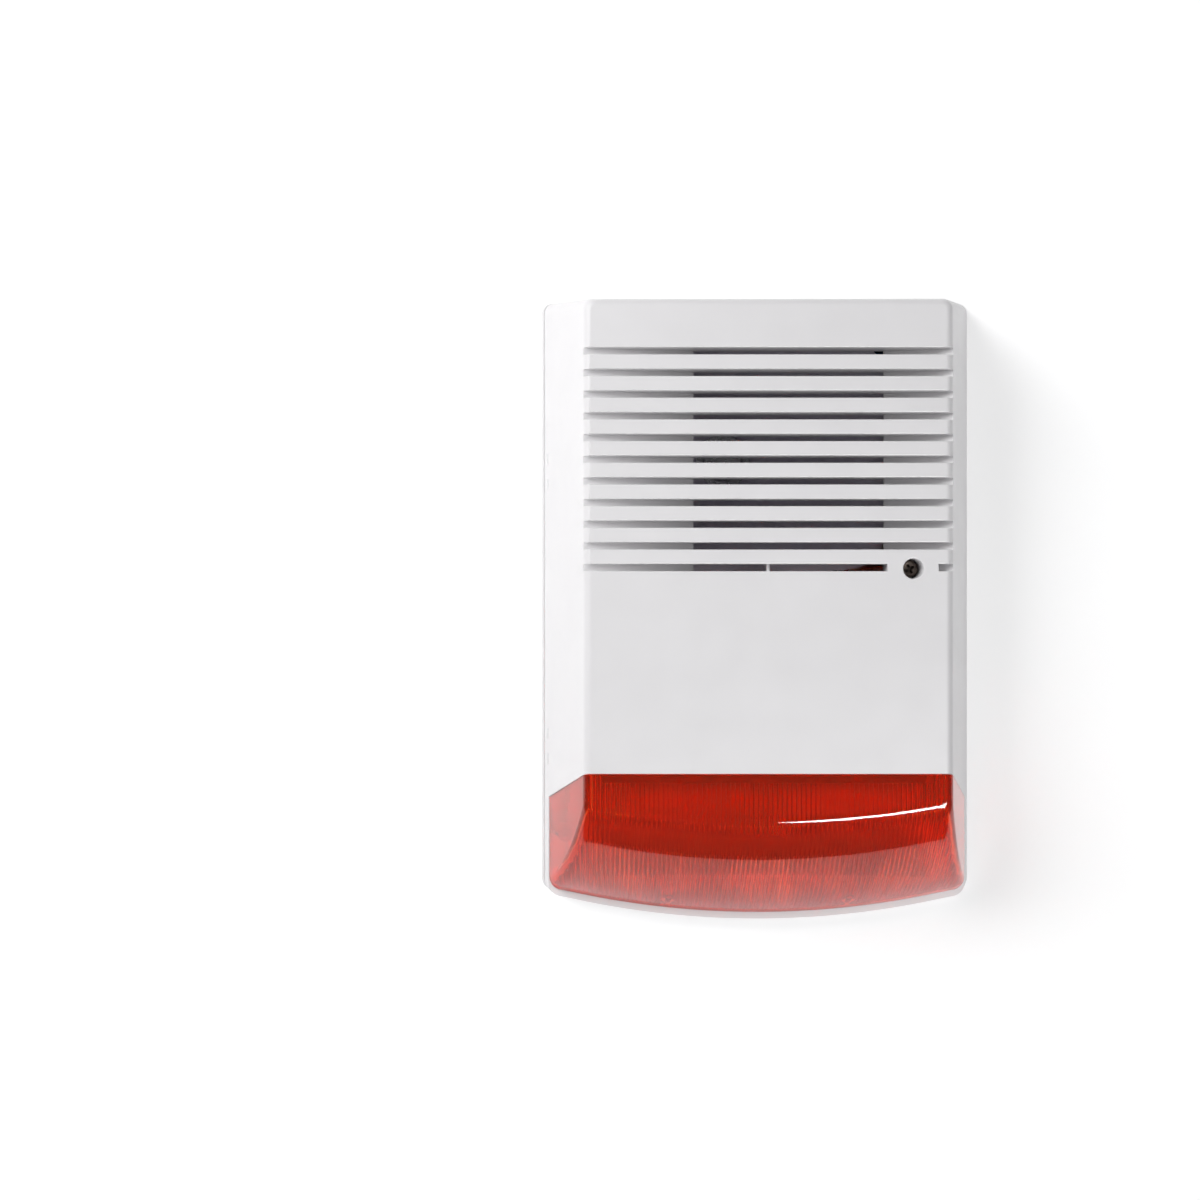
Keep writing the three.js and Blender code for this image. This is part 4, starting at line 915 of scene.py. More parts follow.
def small_screws():
    turn = FIRST_TURN
    for node in HORN_SCREWS + BOARD_SCREWS + CLAMP_SCREWS + STROBE_SCREWS:
        tip, top = depths(node)
        x, z = middle(node)
        seat = top - SCREW_HEAD
        head = half_across(node)
        mesh = screw_mesh(x, z, seat, tip, head, SCREW_SHANK, SCREW_HEAD, THREAD_PITCH, turn)
        piece(f"{node}_pan_head", mesh, "base", "bright_steel", [node])
        turn += TURN_STEP


def cover_screw():
    tip, top = depths("cover_screw")
    mesh = screw_mesh(
        SCREW_X, SCREW_Z, top - COVER_SCREW_HEAD, tip, SCREW_HEAD_RADIUS,
        SCREW_RADIUS, COVER_SCREW_HEAD, THREAD_PITCH, COVER_SCREW_TURN,
    )
    piece("cover_screw_pan_head", mesh, "screw", "dark_steel", ["cover_screw"])
    back, front = depths("screw_washer")
    inner = SCREW_RADIUS + 0.15
    outer = half_across("screw_washer")
    section = [(inner, back), (outer - 0.15, back), (outer, back + 0.15)]
    section += [(outer, front - 0.15), (outer - 0.15, front), (inner, front)]
    washer = ring(SCREW_X, SCREW_Z, section)
    piece("screw_washer_ring", washer, "washer", "nylon", ["screw_washer"])


def screw_insert():
    """Knurled brass sleeve with a funnel mouth."""
    back, front = depths("screw_insert")
    outer = half_across("screw_insert")
    sections = []
    ends = ((back, False), (back + 0.5, True), (front - 1.8, True), (front - 1.2, False), (front, False))
    for depth, knurled in ends:
        ridge = circle(outer - (0 if knurled else KNURL_RELIEF), KNURL_POINTS)
        groove = circle(outer - (KNURL_DEPTH if knurled else KNURL_RELIEF), KNURL_POINTS)
        points = [(groove if i % 2 else ridge)[i] for i in range(KNURL_POINTS)]
        sections.append([(SCREW_X + u, -depth, SCREW_Z + v) for u, v in points])
    bore = SCREW_RADIUS + 0.1
    hole = lathe(SCREW_X, SCREW_Z, [(bore, back - 1), (bore, front - 3.5), (3.3, front + 0.01)])
    piece("screw_insert_knurled", cut(loft(sections), hole), "base", "brass", ["screw_insert"])


def hinge_pins():
    for node in ("hinge_pin_upper", "hinge_pin_lower"):
        low, high = node_box(node)
        radius = (high.x - low.x) / 2
        x, y = (low.x + high.x) / 2, (low.y + high.y) / 2
        ends = ((low.z, 0.6), (low.z + 0.35, 1), (high.z - 0.35, 1), (high.z, 0.6))
        sections = []
        for height, scale in ends:
            sections.append([(x + u, y + v, height) for u, v in circle(radius * scale, 32)])
        piece(f"{node}_rod", loft(sections), "base", "bright_steel", [node])


# ------------------------------------------------------------------ base


def wall_hole(place, keyhole):
    """Cutters for a wall screw: a keyhole, or an oblong hole for adjustment."""
    x, z = place
    through = (-PLATE - 1, 1)
    ends = (-1, PLATE + 1)
    if keyhole:
        slot = box((x - KEYHOLE_SLOT, x + KEYHOLE_SLOT), through, (z - KEYHOLE_DROP, z))
        return [post(x, z - KEYHOLE_DROP, *ends, KEYHOLE_HEAD), post(x, z, *ends, KEYHOLE_SLOT), slot]
    height = (z - OBLONG_RADIUS, z + OBLONG_RADIUS)
    slot = box((x - OBLONG_HALF, x + OBLONG_HALF), through, height)
    return [post(x + side, z, *ends, OBLONG_RADIUS) for side in (-OBLONG_HALF, OBLONG_HALF)] + [slot]


def pillar(x, z, front, radius):
    """A screw pillar on the base, its foot and top edge rounded."""
    profile = [(radius + 0.9, PLATE - 0.5), (radius + 0.9, PLATE), (radius + 0.3, PLATE + 0.3)]
    profile += [(radius, PLATE + 0.9), (radius, front - 0.3), (radius - 0.3, front)]
    return lathe(x, z, profile, 40)


def base_plate():
    plate = case_block(0, PLATE, 0)
    bead = cut(case_block(PLATE - 0.5, BEAD_HEIGHT, 0), case_block(PLATE - 1, BEAD_HEIGHT + 1, BEAD_WIDTH))
    weir = cut(
        case_block(PLATE - 0.5, WEIR_HEIGHT, WEIR_INSET),
        case_block(PLATE - 1, WEIR_HEIGHT + 1, WEIR_INSET + WEIR_WIDTH),
        box(ACROSS, (-WEIR_HEIGHT - 1, -WEIR_LOW_HEIGHT), (-150, WEIR_STEP)),
    )
    pillars = []
    pilots = []
    for nodes, radius, rest in (
        (HORN_SCREWS, 3.5, HORN_BACK),
        (BOARD_SCREWS, 3, -BOARD_HIGH.y),
        (CLAMP_SCREWS, 3.4, depths("battery_clamp")[0]),
        (STROBE_SCREWS, 3.5, depths("strobe_board")[0]),
    ):
        for node in nodes:
            x, z = middle(node)
            pillars.append(pillar(x, z, rest - GAP, radius))
            pilots.append(post(x, z, PILOT_BACK, rest + 1, PILOT, 24))
    boss = post(SCREW_X, SCREW_Z, PLATE - 0.5, BOSS_FRONT, WELL_RADIUS, 56)
    rib = (-GUSSET_FRONT, -PLATE + 0.5)
    gussets = [
        box((SCREW_X - 1, SCREW_X + 1), rib, (SCREW_Z - GUSSET_REACH, SCREW_Z + GUSSET_REACH)),
        box((SCREW_X - GUSSET_REACH, SCREW_X + GUSSET_REACH), rib, (SCREW_Z - 1, SCREW_Z + 1)),
    ]
    shelves = []
    for offset in (4, 36):
        start = BATTERY_LOW.x + offset
        height = (BATTERY_LOW.z - 2.4, BATTERY_LOW.z - GAP)
        shelves.append(box((start, start + 8), (-12, -PLATE + 0.5), height))
    ears = []
    for z in HINGE_HEIGHTS:
        height = (z - HINGE_EAR / 2, z + HINGE_EAR / 2)
        ears.append(upright(HINGE_X, HINGE_Y, height, HINGE_EAR_RADIUS))
        ears.append(box((HINGE_X + 0.5, HINGE_X + 9), (HINGE_Y - 1.9, HINGE_Y + 1.2), height))
        ears.append(box((HINGE_X + 5.9, HINGE_X + 9), (HINGE_Y - 1.9, -1), height))
    raised = union(plate, bead, weir, *pillars, boss, *gussets, *shelves, *ears)
    insert_back = depths("screw_insert")[0]
    holes = [post(SCREW_X, SCREW_Z, insert_back - GAP, BOSS_FRONT + 1, INSERT_HOLE_RADIUS, 56)]
    holes.append(post(CABLE_X, CABLE_Z, -1, PLATE + 1, CABLE_HOLE, 64))
    for i, place in enumerate(WALL_HOLES):
        holes += wall_hole(place, i < 2)
    holes += pilots
    holes += [upright(HINGE_X, HINGE_Y, (z - 5, z + 5), HINGE_BORE_RADIUS) for z in HINGE_HEIGHTS]
    piece("wall_base", cut(raised, *holes), "base", "white_abs", ["base_plate"])


def cable_grommet():
    back, front = depths("cable_grommet")
    groove = CABLE_HOLE - GAP
    flange = half_across("cable_grommet")
    section = [(4.5, back), (groove - 0.3, back), (groove, back + 0.3), (groove, PLATE + GAP)]
    section += [(flange, PLATE + GAP), (flange, 4.0), (flange - 0.5, 4.4), (8.8, 4.8), (7.6, 5.6)]
    section += [(6.2, front - 0.6), (5.7, front), (4.7, front), (4.5, front - 0.3)]
    grommet = ring(CABLE_X, CABLE_Z, section)
    piece("grommet_bush", grommet, "base", "rubber", ["cable_grommet"])


# ------------------------------------------------------------------ horn


def flare_outline(depth, grow):
    """A section of the flare: round at the throat, nearly square and off centre at the mouth."""
    start = HORN_BACK + HORN_FLANGE
    along = max(0.0, (depth - start) / (HORN_MOUTH - start))
    eased = along**1.5
    mouth_x = (HORN_HIGH.x - HORN_LOW.x) / 2 - HORN_WALL
    mouth_z = (HORN_HIGH.z - HORN_LOW.z) / 2 - HORN_WALL
    half_x = HORN_THROAT + grow + (mouth_x - HORN_THROAT) * eased
    half_z = HORN_THROAT + grow + (mouth_z - HORN_THROAT) * eased
    centre = HORN_X + ((HORN_HIGH.x + HORN_LOW.x) / 2 - HORN_X) * eased
    power = 2 / (2 + 5 * along)
    points = []
    for i in range(FLARE_POINTS):
        angle = -2 * math.pi * i / FLARE_POINTS
        c, s = math.cos(angle), math.sin(angle)
        x = math.copysign(abs(c) ** power, c)
        z = math.copysign(abs(s) ** power, s)
        points.append((centre + half_x * x, -depth, HORN_Z + half_z * z))
    return points


def siren_horn():
    start = HORN_BACK + HORN_FLANGE
    rim = HORN_MOUTH - 1.6
    outer = [flare_outline(d, HORN_WALL - 0.5) for d in spread(start - 0.5, rim, 14)]
    outer += [flare_outline(rim + 0.4, HORN_WALL - 0.1), flare_outline(HORN_MOUTH - 0.4, HORN_WALL)]
    outer.append(flare_outline(HORN_MOUTH, HORN_WALL - 0.4))
    inner = [flare_outline(HORN_BACK - 1, 0)]
    inner += [flare_outline(d, 0) for d in spread(start, HORN_MOUTH, 14)]
    inner.append(flare_outline(HORN_MOUTH + 0.5, 0.5))
    reach_x = middle("horn_screw_3")[0] - HORN_X
    flange_half = abs(reach_x) + 5
    flange = box(
        (HORN_X - flange_half, HORN_X + flange_half),
        (-start, -HORN_BACK),
        (HORN_Z - flange_half, HORN_Z + flange_half),
        0.6,
    )
    holes = [post(*middle(node), HORN_BACK - 1, start + 1, CLEARANCE_RADIUS) for node in HORN_SCREWS]
    body = cut(union(flange, loft(outer)), loft(inner), *holes)
    piece("horn_flare", body, "base", "grey_plastic", ["siren_horn"], HORN_PLASTIC)


def siren_driver():
    back, front = depths("siren_driver")
    profile = [(14.4, back), (15, back + 0.6), (15, 8.6), (15.4, 9), (20.4, 9.5), (21.4, 10.2)]
    profile += [(22, 12), (22, front - 2.6), (21.6, front - 2.2), (21.6, front - 1.6), (22, front - 1.2)]
    profile += [(22, front - 0.3), (21.7, front), (9.2, front), (9, front - 0.2), (8, front - 1.5)]
    capsule = lathe(HORN_X, HORN_Z, profile, 80)
    piece("sounder_capsule", capsule, "base", "bright_steel", ["siren_driver"])


# ------------------------------------------------------------------ battery


def backup_battery():
    radius = (BATTERY_HIGH.z - BATTERY_LOW.z) / (2 * CELLS)
    y = (BATTERY_LOW.y + BATTERY_HIGH.y) / 2
    start, end = BATTERY_LOW.x, BATTERY_HIGH.x
    wraps = []
    recesses = []
    caps = []
    for i in range(CELLS):
        z = BATTERY_LOW.z + radius * (1 + 2 * i)
        ends = [(start, radius - 1.1), (start + 0.25, radius - 0.4), (start + 0.8, radius)]
        ends += [(end - 0.8, radius), (end - 0.25, radius - 0.4), (end, radius - 1.1)]
        wraps.append(roller(ends, y, z))
        if i:
            seam = z - radius
            wraps.append(box((start + 0.8, end - 0.8), (y - 5.4, y + 5.4), (seam - 3, seam + 3), 0.3))
        for edge, side in ((start, 1), (end, -1)):
            span = sorted((edge - side, edge + side * 0.7))
            recesses.append(roller([(span[0], radius - 1.5), (span[1], radius - 1.5)], y, z))
            plate = sorted((edge + side * 0.35, edge + side * 0.8))
            nub = sorted((edge + side * 0.1, edge + side * 0.8))
            caps.append(roller([(plate[0], radius - 1.7), (plate[1], radius - 1.7)], y, z))
            caps.append(roller([(nub[0], 2.6), (nub[1], 2.6)], y, z))
    wrap = cut(union(*wraps), *recesses)
    piece("battery_wrap", wrap, "base", "battery_wrap", ["backup_battery"])
    piece("battery_cell_caps", union(*caps), "base", "bright_steel")


def battery_clamp():
    low, high = node_box("battery_clamp")
    back, front = depths("battery_clamp")
    band = box((low.x, high.x), (low.y + 0.4, high.y), (low.z, high.z), 0.4)
    beads = []
    for z in (low.z + 2.6, high.z - 2.6):
        beads.append(box((low.x + 9, high.x - 9), (low.y, high.y - 0.3), (z - 0.8, z + 0.8), 0.3))
    pads = [post(*middle(node), back, front, 3.6) for node in CLAMP_SCREWS]
    holes = [post(*middle(node), back - 1, front + 1, CLEARANCE_RADIUS) for node in CLAMP_SCREWS]
    clamp = cut(union(band, *beads, *pads), *holes)
    piece("battery_strap", clamp, "base", "grey_plastic", ["battery_clamp"])


# ------------------------------------------------------------------ circuit board and its parts


def board_routes():
    """Copper tracks across the board's front: each a line of (x, z) points."""
    chip_x, chip_z = middle("driver_chip")
    relay_x, relay_z = middle("relay")
    can_x, can_z = middle("reservoir_capacitor")
    coil_x, coil_z = middle("step_up_coil")
    fet_x, fet_z = middle("power_transistor")
    block_x, block_z = middle("terminal_block")
    tamper_x, tamper_z = middle("tamper_switch")
    routes = []
    for i in range(4):
        x = block_x - 7.6 + TERMINAL_PITCH * i
        end = chip_x - 6 + PIN_PITCH * i
        turn = -38 + 1.6 * i
        routes.append([(x, block_z + 3), (x, turn), (end, turn + 3), (end, chip_z - 5)])
    for i, node in enumerate(HEADERS):
        x, z = middle(node)
        start = x - HALF_PITCH
        end = chip_x + PIN_PITCH * i
        low = -13 - 1.5 * i
        routes.append([(start, z), (start, low), (end, low - 2), (end, chip_z + 5)])
    routes.append([(relay_x + 6, relay_z + 6), (relay_x + 6, -34), (fet_x, -28), (fet_x, fet_z - 3)])
    routes.append([(can_x, can_z + 4), (can_x, -32), (fet_x + 2.5, -26), (fet_x + 2.5, fet_z - 3)])
    routes.append([(coil_x, coil_z + 6), (coil_x, -32), (tamper_x, -30), (tamper_x, tamper_z - 4)])
    routes.append([(coil_x - 6, coil_z), (can_x + 4, can_z)])
    return routes


def circuit_board():
    board_piece("circuit_board", "main_board", BOARD_SCREWS)
    tracks = []
    pads = []
    skin = (-BOARD_FRONT - TRACK_RAISE, -BOARD_FRONT + SUNK)
    for route in board_routes():
        for (x0, z0), (x1, z1) in zip(route, route[1:]):
            run = Vector((x1 - x0, z1 - z0))
            across = Vector((-run.y, run.x)).normalized() * TRACK_HALF
            corners = ((x0 - across.x, z0 - across.y), (x1 - across.x, z1 - across.y))
            corners += ((x1 + across.x, z1 + across.y), (x0 + across.x, z0 + across.y))
            tracks.append(loft([[(x, y, z) for x, z in corners] for y in skin]))
        for x, z in (route[0], route[-1], route[1]):
            tracks.append(post(x, z, BOARD_FRONT - SUNK, BOARD_FRONT + TRACK_RAISE, TRACK_HALF, 16))
    back, front = BOARD_FRONT - SUNK, BOARD_FRONT + PAD_RAISE
    for x, z in PAD_PLACES:
        pads.append(ring(x, z, [(0.4, back), (1, back), (1, front), (0.4, front)], 24))
    piece("board_tracks", union(*tracks), "base", "board_green", finish=TRACK_GREEN)
    piece("board_pads", union(*pads), "base", "bright_steel")


def board_piece(node, name, screws):
    back, front = depths(node)
    plate = block_of(node, 0.15)
    holes = [post(*middle(screw), back - 1, front + 1, CLEARANCE_RADIUS, 32) for screw in screws]
    piece(name, cut(plate, *holes), "base", "board_green", [node])


def terminal_block():
    low, high = node_box("terminal_block")
    front = -low.y
    body = block_of("terminal_block", 0.35)
    cuts = []
    for node in TERMINAL_SCREWS:
        x, z = middle(node)
        cuts.append(lathe(x, z, [(2.1, front - 3), (2.1, front - 0.4), (2.5, front + 0.1)], 40))
        cuts.append(box((x - 1.7, x + 1.7), (-16.4, -12), (low.z - 1, low.z + 4), 0.2))
    for i in range(1, 4):
        x = low.x + (high.x - low.x) * i / 4
        cuts.append(box((x - 0.15, x + 0.15), (low.y - 1, low.y + 0.5), (low.z - 1, high.z + 1)))
    block = cut(body, *cuts)
    piece("terminal_housing", block, "base", "terminal_green", ["terminal_block"])
    for turn, node in enumerate(TERMINAL_SCREWS):
        x, z = middle(node)
        back, front = depths(node)
        radius = half_across(node)
        profile = [(radius, back), (radius, front - 0.3), (radius - 0.3, front)]
        blade = cross_bits(x, z, front - 0.8, front + 0.5, radius * 1.4, 0.7, 20 + 31 * turn)[0]
        screw = cut(lathe(x, z, profile, 40), blade)
        piece(f"{node}_slotted", screw, "base", "bright_steel", [node])


def relay():
    low, high = node_box("relay")
    foot = box((low.x, high.x), (high.y - 2.2, high.y), (low.z, high.z), 0.3)
    lid = box((low.x + 0.4, high.x - 0.4), (low.y, high.y - 1), (low.z + 0.4, high.z - 0.4), 0.9)
    nub = post(low.x + 3, high.z - 3, -low.y - 1, -low.y, 0.8, 20)
    body = union(foot, lid)
    groove = box((low.x + 3, high.x - 3), (low.y - 1, low.y + 0.15), (low.z + 2, low.z + 2.4))
    piece("relay_case", union(cut(body, groove), nub), "base", "black_plastic", ["relay"])


def reservoir_capacitor():
    x, z = middle("reservoir_capacitor")
    back, front = depths("reservoir_capacitor")
    radius = half_across("reservoir_capacitor")
    sleeve = radius - 0.1
    profile = [(sleeve - 0.5, back), (sleeve, back + 0.5), (sleeve, 11.6), (sleeve - 0.5, 12.4)]
    profile += [(sleeve, 13.2), (sleeve, front - 0.8), (sleeve - 0.25, front - 0.25)]
    profile += [(sleeve - 0.8, front), (sleeve - 1.4, front - 0.3)]
    can = lathe(x, z, profile, 64)
    piece("capacitor_can", can, "base", "capacitor_sleeve", ["reservoir_capacitor"])
    cap = [(sleeve - 1.5, front - 0.6), (sleeve - 1.5, front - 0.12), (sleeve - 1.7, front - 0.06)]
    vents = cross_bits(x, z, front - 0.2, front + 0.4, sleeve * 0.55, 0.35, 45)
    piece("capacitor_top", cut(lathe(x, z, cap, 64), *vents), "base", "bright_steel")
    stripe = []
    for edge in (sleeve - 0.2, radius):
        for turn in spread(60, 100, 8)[:: 1 if edge == radius else -1]:
            angle = math.radians(turn)
            stripe.append((x + edge * math.cos(angle), z + edge * math.sin(angle)))
    band = loft([[(px, -depth, pz) for px, pz in stripe] for depth in (14, front - 1)])
    piece("capacitor_stripe", band, "base", "grey_plastic")


def step_up_coil():
    x, z = middle("step_up_coil")
    back, front = depths("step_up_coil")
    radius = half_across("step_up_coil")
    bobbin = [(radius - 0.3, back), (radius, back + 0.3), (radius, 11.7), (radius - 0.3, 12), (5, 12)]
    bobbin += [(5, 20), (radius - 0.3, 20), (radius, 20.3), (radius, front - 0.3), (radius - 0.3, front)]
    hole = post(x, z, front - 1.4, front + 1, 2.4)
    piece("coil_bobbin", cut(lathe(x, z, bobbin, 64), hole), "base", "black_plastic", ["step_up_coil"])
    winding = []
    pitch = (COIL_END - COIL_START) / COIL_TURNS
    for i in range(COIL_TURNS):
        start = COIL_START + (COIL_END - COIL_START) * i / COIL_TURNS
        for step in range(6):
            rise = COIL_WIRE * math.sin(math.pi * step / 6)
            winding.append((COIL_RADIUS + rise, start + pitch * step / 6))
    section = [(4.8, COIL_START)] + winding + [(COIL_RADIUS, COIL_END), (4.8, COIL_END)]
    piece("coil_winding", ring(x, z, section), "base", "copper")
    core = lathe(x, z, [(2.2, front - 1.6), (2.2, front - 0.6), (2, front - 0.4)])
    piece("coil_core", core, "base", "grey_plastic")


def driver_chip():
    low, high = node_box("driver_chip")
    top, foot = -low.y, -high.y
    half_z = (high.z - low.z) / 2 - 1
    z = middle("driver_chip")[1]
    sections = []
    for depth, inset in ((top - 3.2, 0.35), (top - 1.6, 0), (top, 0.45)):
        left, right = low.x + inset, high.x - inset
        below, above = z - half_z + inset, z + half_z - inset
        corners = ((left, below), (right, below), (right, above), (left, above))
        sections.append([(px, -depth, pz) for px, pz in corners])
    notch = post(low.x + 0.4, z, top - 0.6, top + 1, 1.2)
    dot = post(low.x + 3, z - 1.8, top - 0.15, top + 1, 0.5, 20)
    piece("chip_body", cut(loft(sections), notch, dot), "base", "black_plastic", ["driver_chip"])
    legs = []
    for i in range(9):
        px = low.x + 1.34 + PIN_PITCH * i
        for side in (-1, 1):
            near, far = z + side * (half_z - 0.6), z + side * (half_z + 1)
            shoulder = sorted((near, far))
            legs.append(box((px - 0.6, px + 0.6), (-top + 1.5, -top + 1.8), shoulder))
            fall = sorted((far - side * 0.3, far))
            legs.append(box((px - 0.6, px + 0.6), (-top + 1.5, -top + 2.6), fall))
            legs.append(box((px - 0.3, px + 0.3), (-top + 2.5, -foot), fall))
    piece("chip_legs", union(*legs), "base", "bright_steel")


def power_transistor():
    low, high = node_box("power_transistor")
    x = middle("power_transistor")[0]
    body = box((low.x, high.x), (low.y + 6.5, high.y - 1.3), (low.z, high.z - 1.3), 0.35)
    piece("transistor_body", body, "base", "black_plastic", ["power_transistor"])
    tab = box((low.x, high.x), (low.y, high.y - 1.3), (high.z - 1.3, high.z), 0.15)
    hole = upright(x, low.y + 3.1, (high.z - 3, high.z + 1), 1.8)
    legs = []
    height = (low.z + 1.9, low.z + 2.4)
    for offset in (-PIN_PITCH, 0, PIN_PITCH):
        px = x + offset
        legs.append(box((px - 0.65, px + 0.65), (high.y - 2.4, high.y - 0.9), height))
        legs.append(box((px - 0.35, px + 0.35), (high.y - 1.2, high.y), height))
    piece("transistor_tab", union(cut(tab, hole), *legs), "base", "bright_steel")


def headers():
    for node in HEADERS:
        low, high = node_box(node)
        x, z = middle(node)
        shell = block_of(node, 0.25)
        hollow = box((low.x + 0.8, high.x - 0.8), (low.y - 1, high.y - 1.8), (low.z + 0.8, high.z - 0.8))
        keys = []
        for px in (x - 1.6, x + 1.6):
            keys.append(box((px - 0.6, px + 0.6), (low.y - 1, high.y - 3), (low.z - 1, low.z + 1)))
        piece(f"{node}_shell", cut(shell, hollow, *keys), "base", "nylon", [node])
        pins = []
        for offset in (-HALF_PITCH, HALF_PITCH):
            px = x + offset
            pins.append(box((px - 0.32, px + 0.32), (low.y + 1.4, high.y - 1.3), (z - 0.3, z + 0.3), 0.1))
        piece(f"{node}_pins", union(*pins), "base", "brass")
    low, high = node_box("battery_plug")
    x, z = middle("battery_plug")
    plug = block_of("battery_plug", 0.3)
    windows = []
    for offset in (-HALF_PITCH, HALF_PITCH):
        px = x + offset
        windows.append(box((px - 0.5, px + 0.5), (low.y + 1.4, high.y - 1.6), (low.z - 1, low.z + 0.5)))
        windows.append(post(px, z, -low.y - 1.2, -low.y + 1, 1, 24))
    piece("battery_plug_housing", cut(plug, *windows), "base", "nylon", ["battery_plug"])


# ------------------------------------------------------------------ tamper switch


def tube(path, radius):
    """A round wire along a line of points."""
    points = [Vector(p) for p in path]
    side = None
    sections = []
    for i, point in enumerate(points):
        ahead = (points[min(i + 1, len(points) - 1)] - points[max(i - 1, 0)]).normalized()
        if side is None:
            side = ahead.orthogonal().normalized()
        side = (side - ahead * side.dot(ahead)).normalized()
        up = ahead.cross(side)
        sections.append([point + side * u + up * v for u, v in circle(radius, 12)])
    return loft(sections)


def tamper_switch():
    low, high = node_box("tamper_switch")
    x, z = middle("tamper_switch")
    front = -low.y
    body = box((low.x, high.x), (low.y + 0.8, high.y), (low.z, high.z), 0.6)
    collar = lathe(x, z, [(2.7, front - 1.5), (2.7, front - 0.3), (2.4, front)])
    bore = post(x, z, 11, front + 1, 1.8)
    mesh = cut(union(body, collar), bore)
    piece("tamper_switch_case", mesh, "base", "black_plastic", ["tamper_switch"])
    back, front = depths("tamper_plunger")
    profile = [(1.2, back), (1.5, back + 0.3), (1.5, front - 3), (3.7, front - 3), (4, front - 2.7)]
    profile += [(4, front - 1.1), (3.8, front - 0.5), (3.2, front - 0.1), (2.6, front)]
    plunger = lathe(x, z, profile, 56)
    piece("tamper_button", plunger, "plunger", "grey_plastic", ["tamper_plunger"])


def tamper_spring():
    back, front = depths("tamper_spring")
    x, z = middle("tamper_spring")
    coil = half_across("tamper_spring") - SPRING_WIRE
    steps = SPRING_TURNS * 36
    path = []
    for s in range(steps + 1):
        angle = 2 * math.pi * SPRING_TURNS * s / steps
        depth = back + SPRING_WIRE + (front - back - 2 * SPRING_WIRE) * s / steps
        path.append((x + coil * math.cos(angle), -depth, z + coil * math.sin(angle)))
    return piece("tamper_coil_spring", tube(path, SPRING_WIRE), "base", "bright_steel", ["tamper_spring"])


# ------------------------------------------------------------------ beacon inside


def strobe_reflector():
    low, high = node_box("strobe_reflector")
    knots = [(-26, -72), (-17.4, -80), (-14.6, -88), (-REFLECTOR_FLOOR, STROBE_Z), (-14.6, -104)]
    knots += [(-17.4, -112), (-23, -117.5)]
    line = smooth_line([(0, y, z) for y, z in knots], 6)
    section = [(p.y, p.z) for p in line]
    section += [(p.y - REFLECTOR_THICK, p.z) for p in reversed(line)]
    trough = prism(section, (low.x, high.x))
    seat = REFLECTOR_FLOOR + 0.6
    board_front = depths("strobe_board")[1]
    bosses = [post(*middle(node), board_front + GAP, seat, 3) for node in STROBE_SCREWS]
    holes = [post(*middle(node), board_front, 17.2, CLEARANCE_RADIUS) for node in STROBE_SCREWS]
    lamps = [post(*middle(node), 12.2, 18.2, 3.4, 56) for node in LEDS]
    mesh = cut(union(trough, *bosses), *holes, *lamps)
    piece("reflector_trough", mesh, "base", "reflector", ["strobe_reflector"])


def strobe_leds():
    for node in LEDS:
        x, z = middle(node)
        foot, top = depths(node)
        profile = [(2.9, foot), (2.9, foot + 0.9), (LED_RADIUS, foot + 1), (LED_RADIUS, top - LED_RADIUS)]
        for sine, cosine in quarter(8)[1:]:
            profile.append((LED_RADIUS * cosine + 0.02, top - LED_RADIUS + LED_RADIUS * sine))
        dome = lathe(x, z, profile, 56)
        cup = lathe(x, z, [(1.9, foot + 1.2), (1.9, foot + 2.6)], 32)
        piece(f"{node}_dome", cut(dome, cup), "base", "clear_resin", [node])
        chip = union(
            lathe(x, z, [(1.7, foot + 1.4), (1.7, foot + 2), (1.4, foot + 2.2)], 32),
            box((x - 0.5, x + 0.5), (-foot - 2.5, -foot - 2), (z - 0.5, z + 0.5)),
        )
        piece(f"{node}_chip", chip, "base", "brass", finish=PHOSPHOR)


# ------------------------------------------------------------------ leads


def smooth_line(points, steps):
    """A smooth line through the points (centripetal), with steps between each pair."""
    knots = [Vector(p) for p in points]
    knots = [knots[0] * 2 - knots[1]] + knots + [knots[-1] * 2 - knots[-2]]
    line = []
    for a, b, c, d in zip(knots, knots[1:], knots[2:], knots[3:]):
        t = [0.0]
        for start, end in ((a, b), (b, c), (c, d)):
            t.append(t[-1] + math.sqrt((end - start).length))
        for s in range(steps):
            at = t[1] + (t[2] - t[1]) * s / steps
            first = a.lerp(b, (at - t[0]) / (t[1] - t[0]))
            second = b.lerp(c, (at - t[1]) / (t[2] - t[1]))
            third = c.lerp(d, (at - t[2]) / (t[3] - t[2]))
            low = first.lerp(second, (at - t[0]) / (t[2] - t[0]))
            high = second.lerp(third, (at - t[1]) / (t[3] - t[1]))
            line.append(low.lerp(high, (at - t[1]) / (t[2] - t[1])))
    line.append(knots[-2])
    return line


def lead(node, points, radius, slot):
    """One wire along its CAD route."""
    mesh = tube(smooth_line(points, 9), radius)
    piece(f"{node}_wire", mesh, "base", slot, [node])


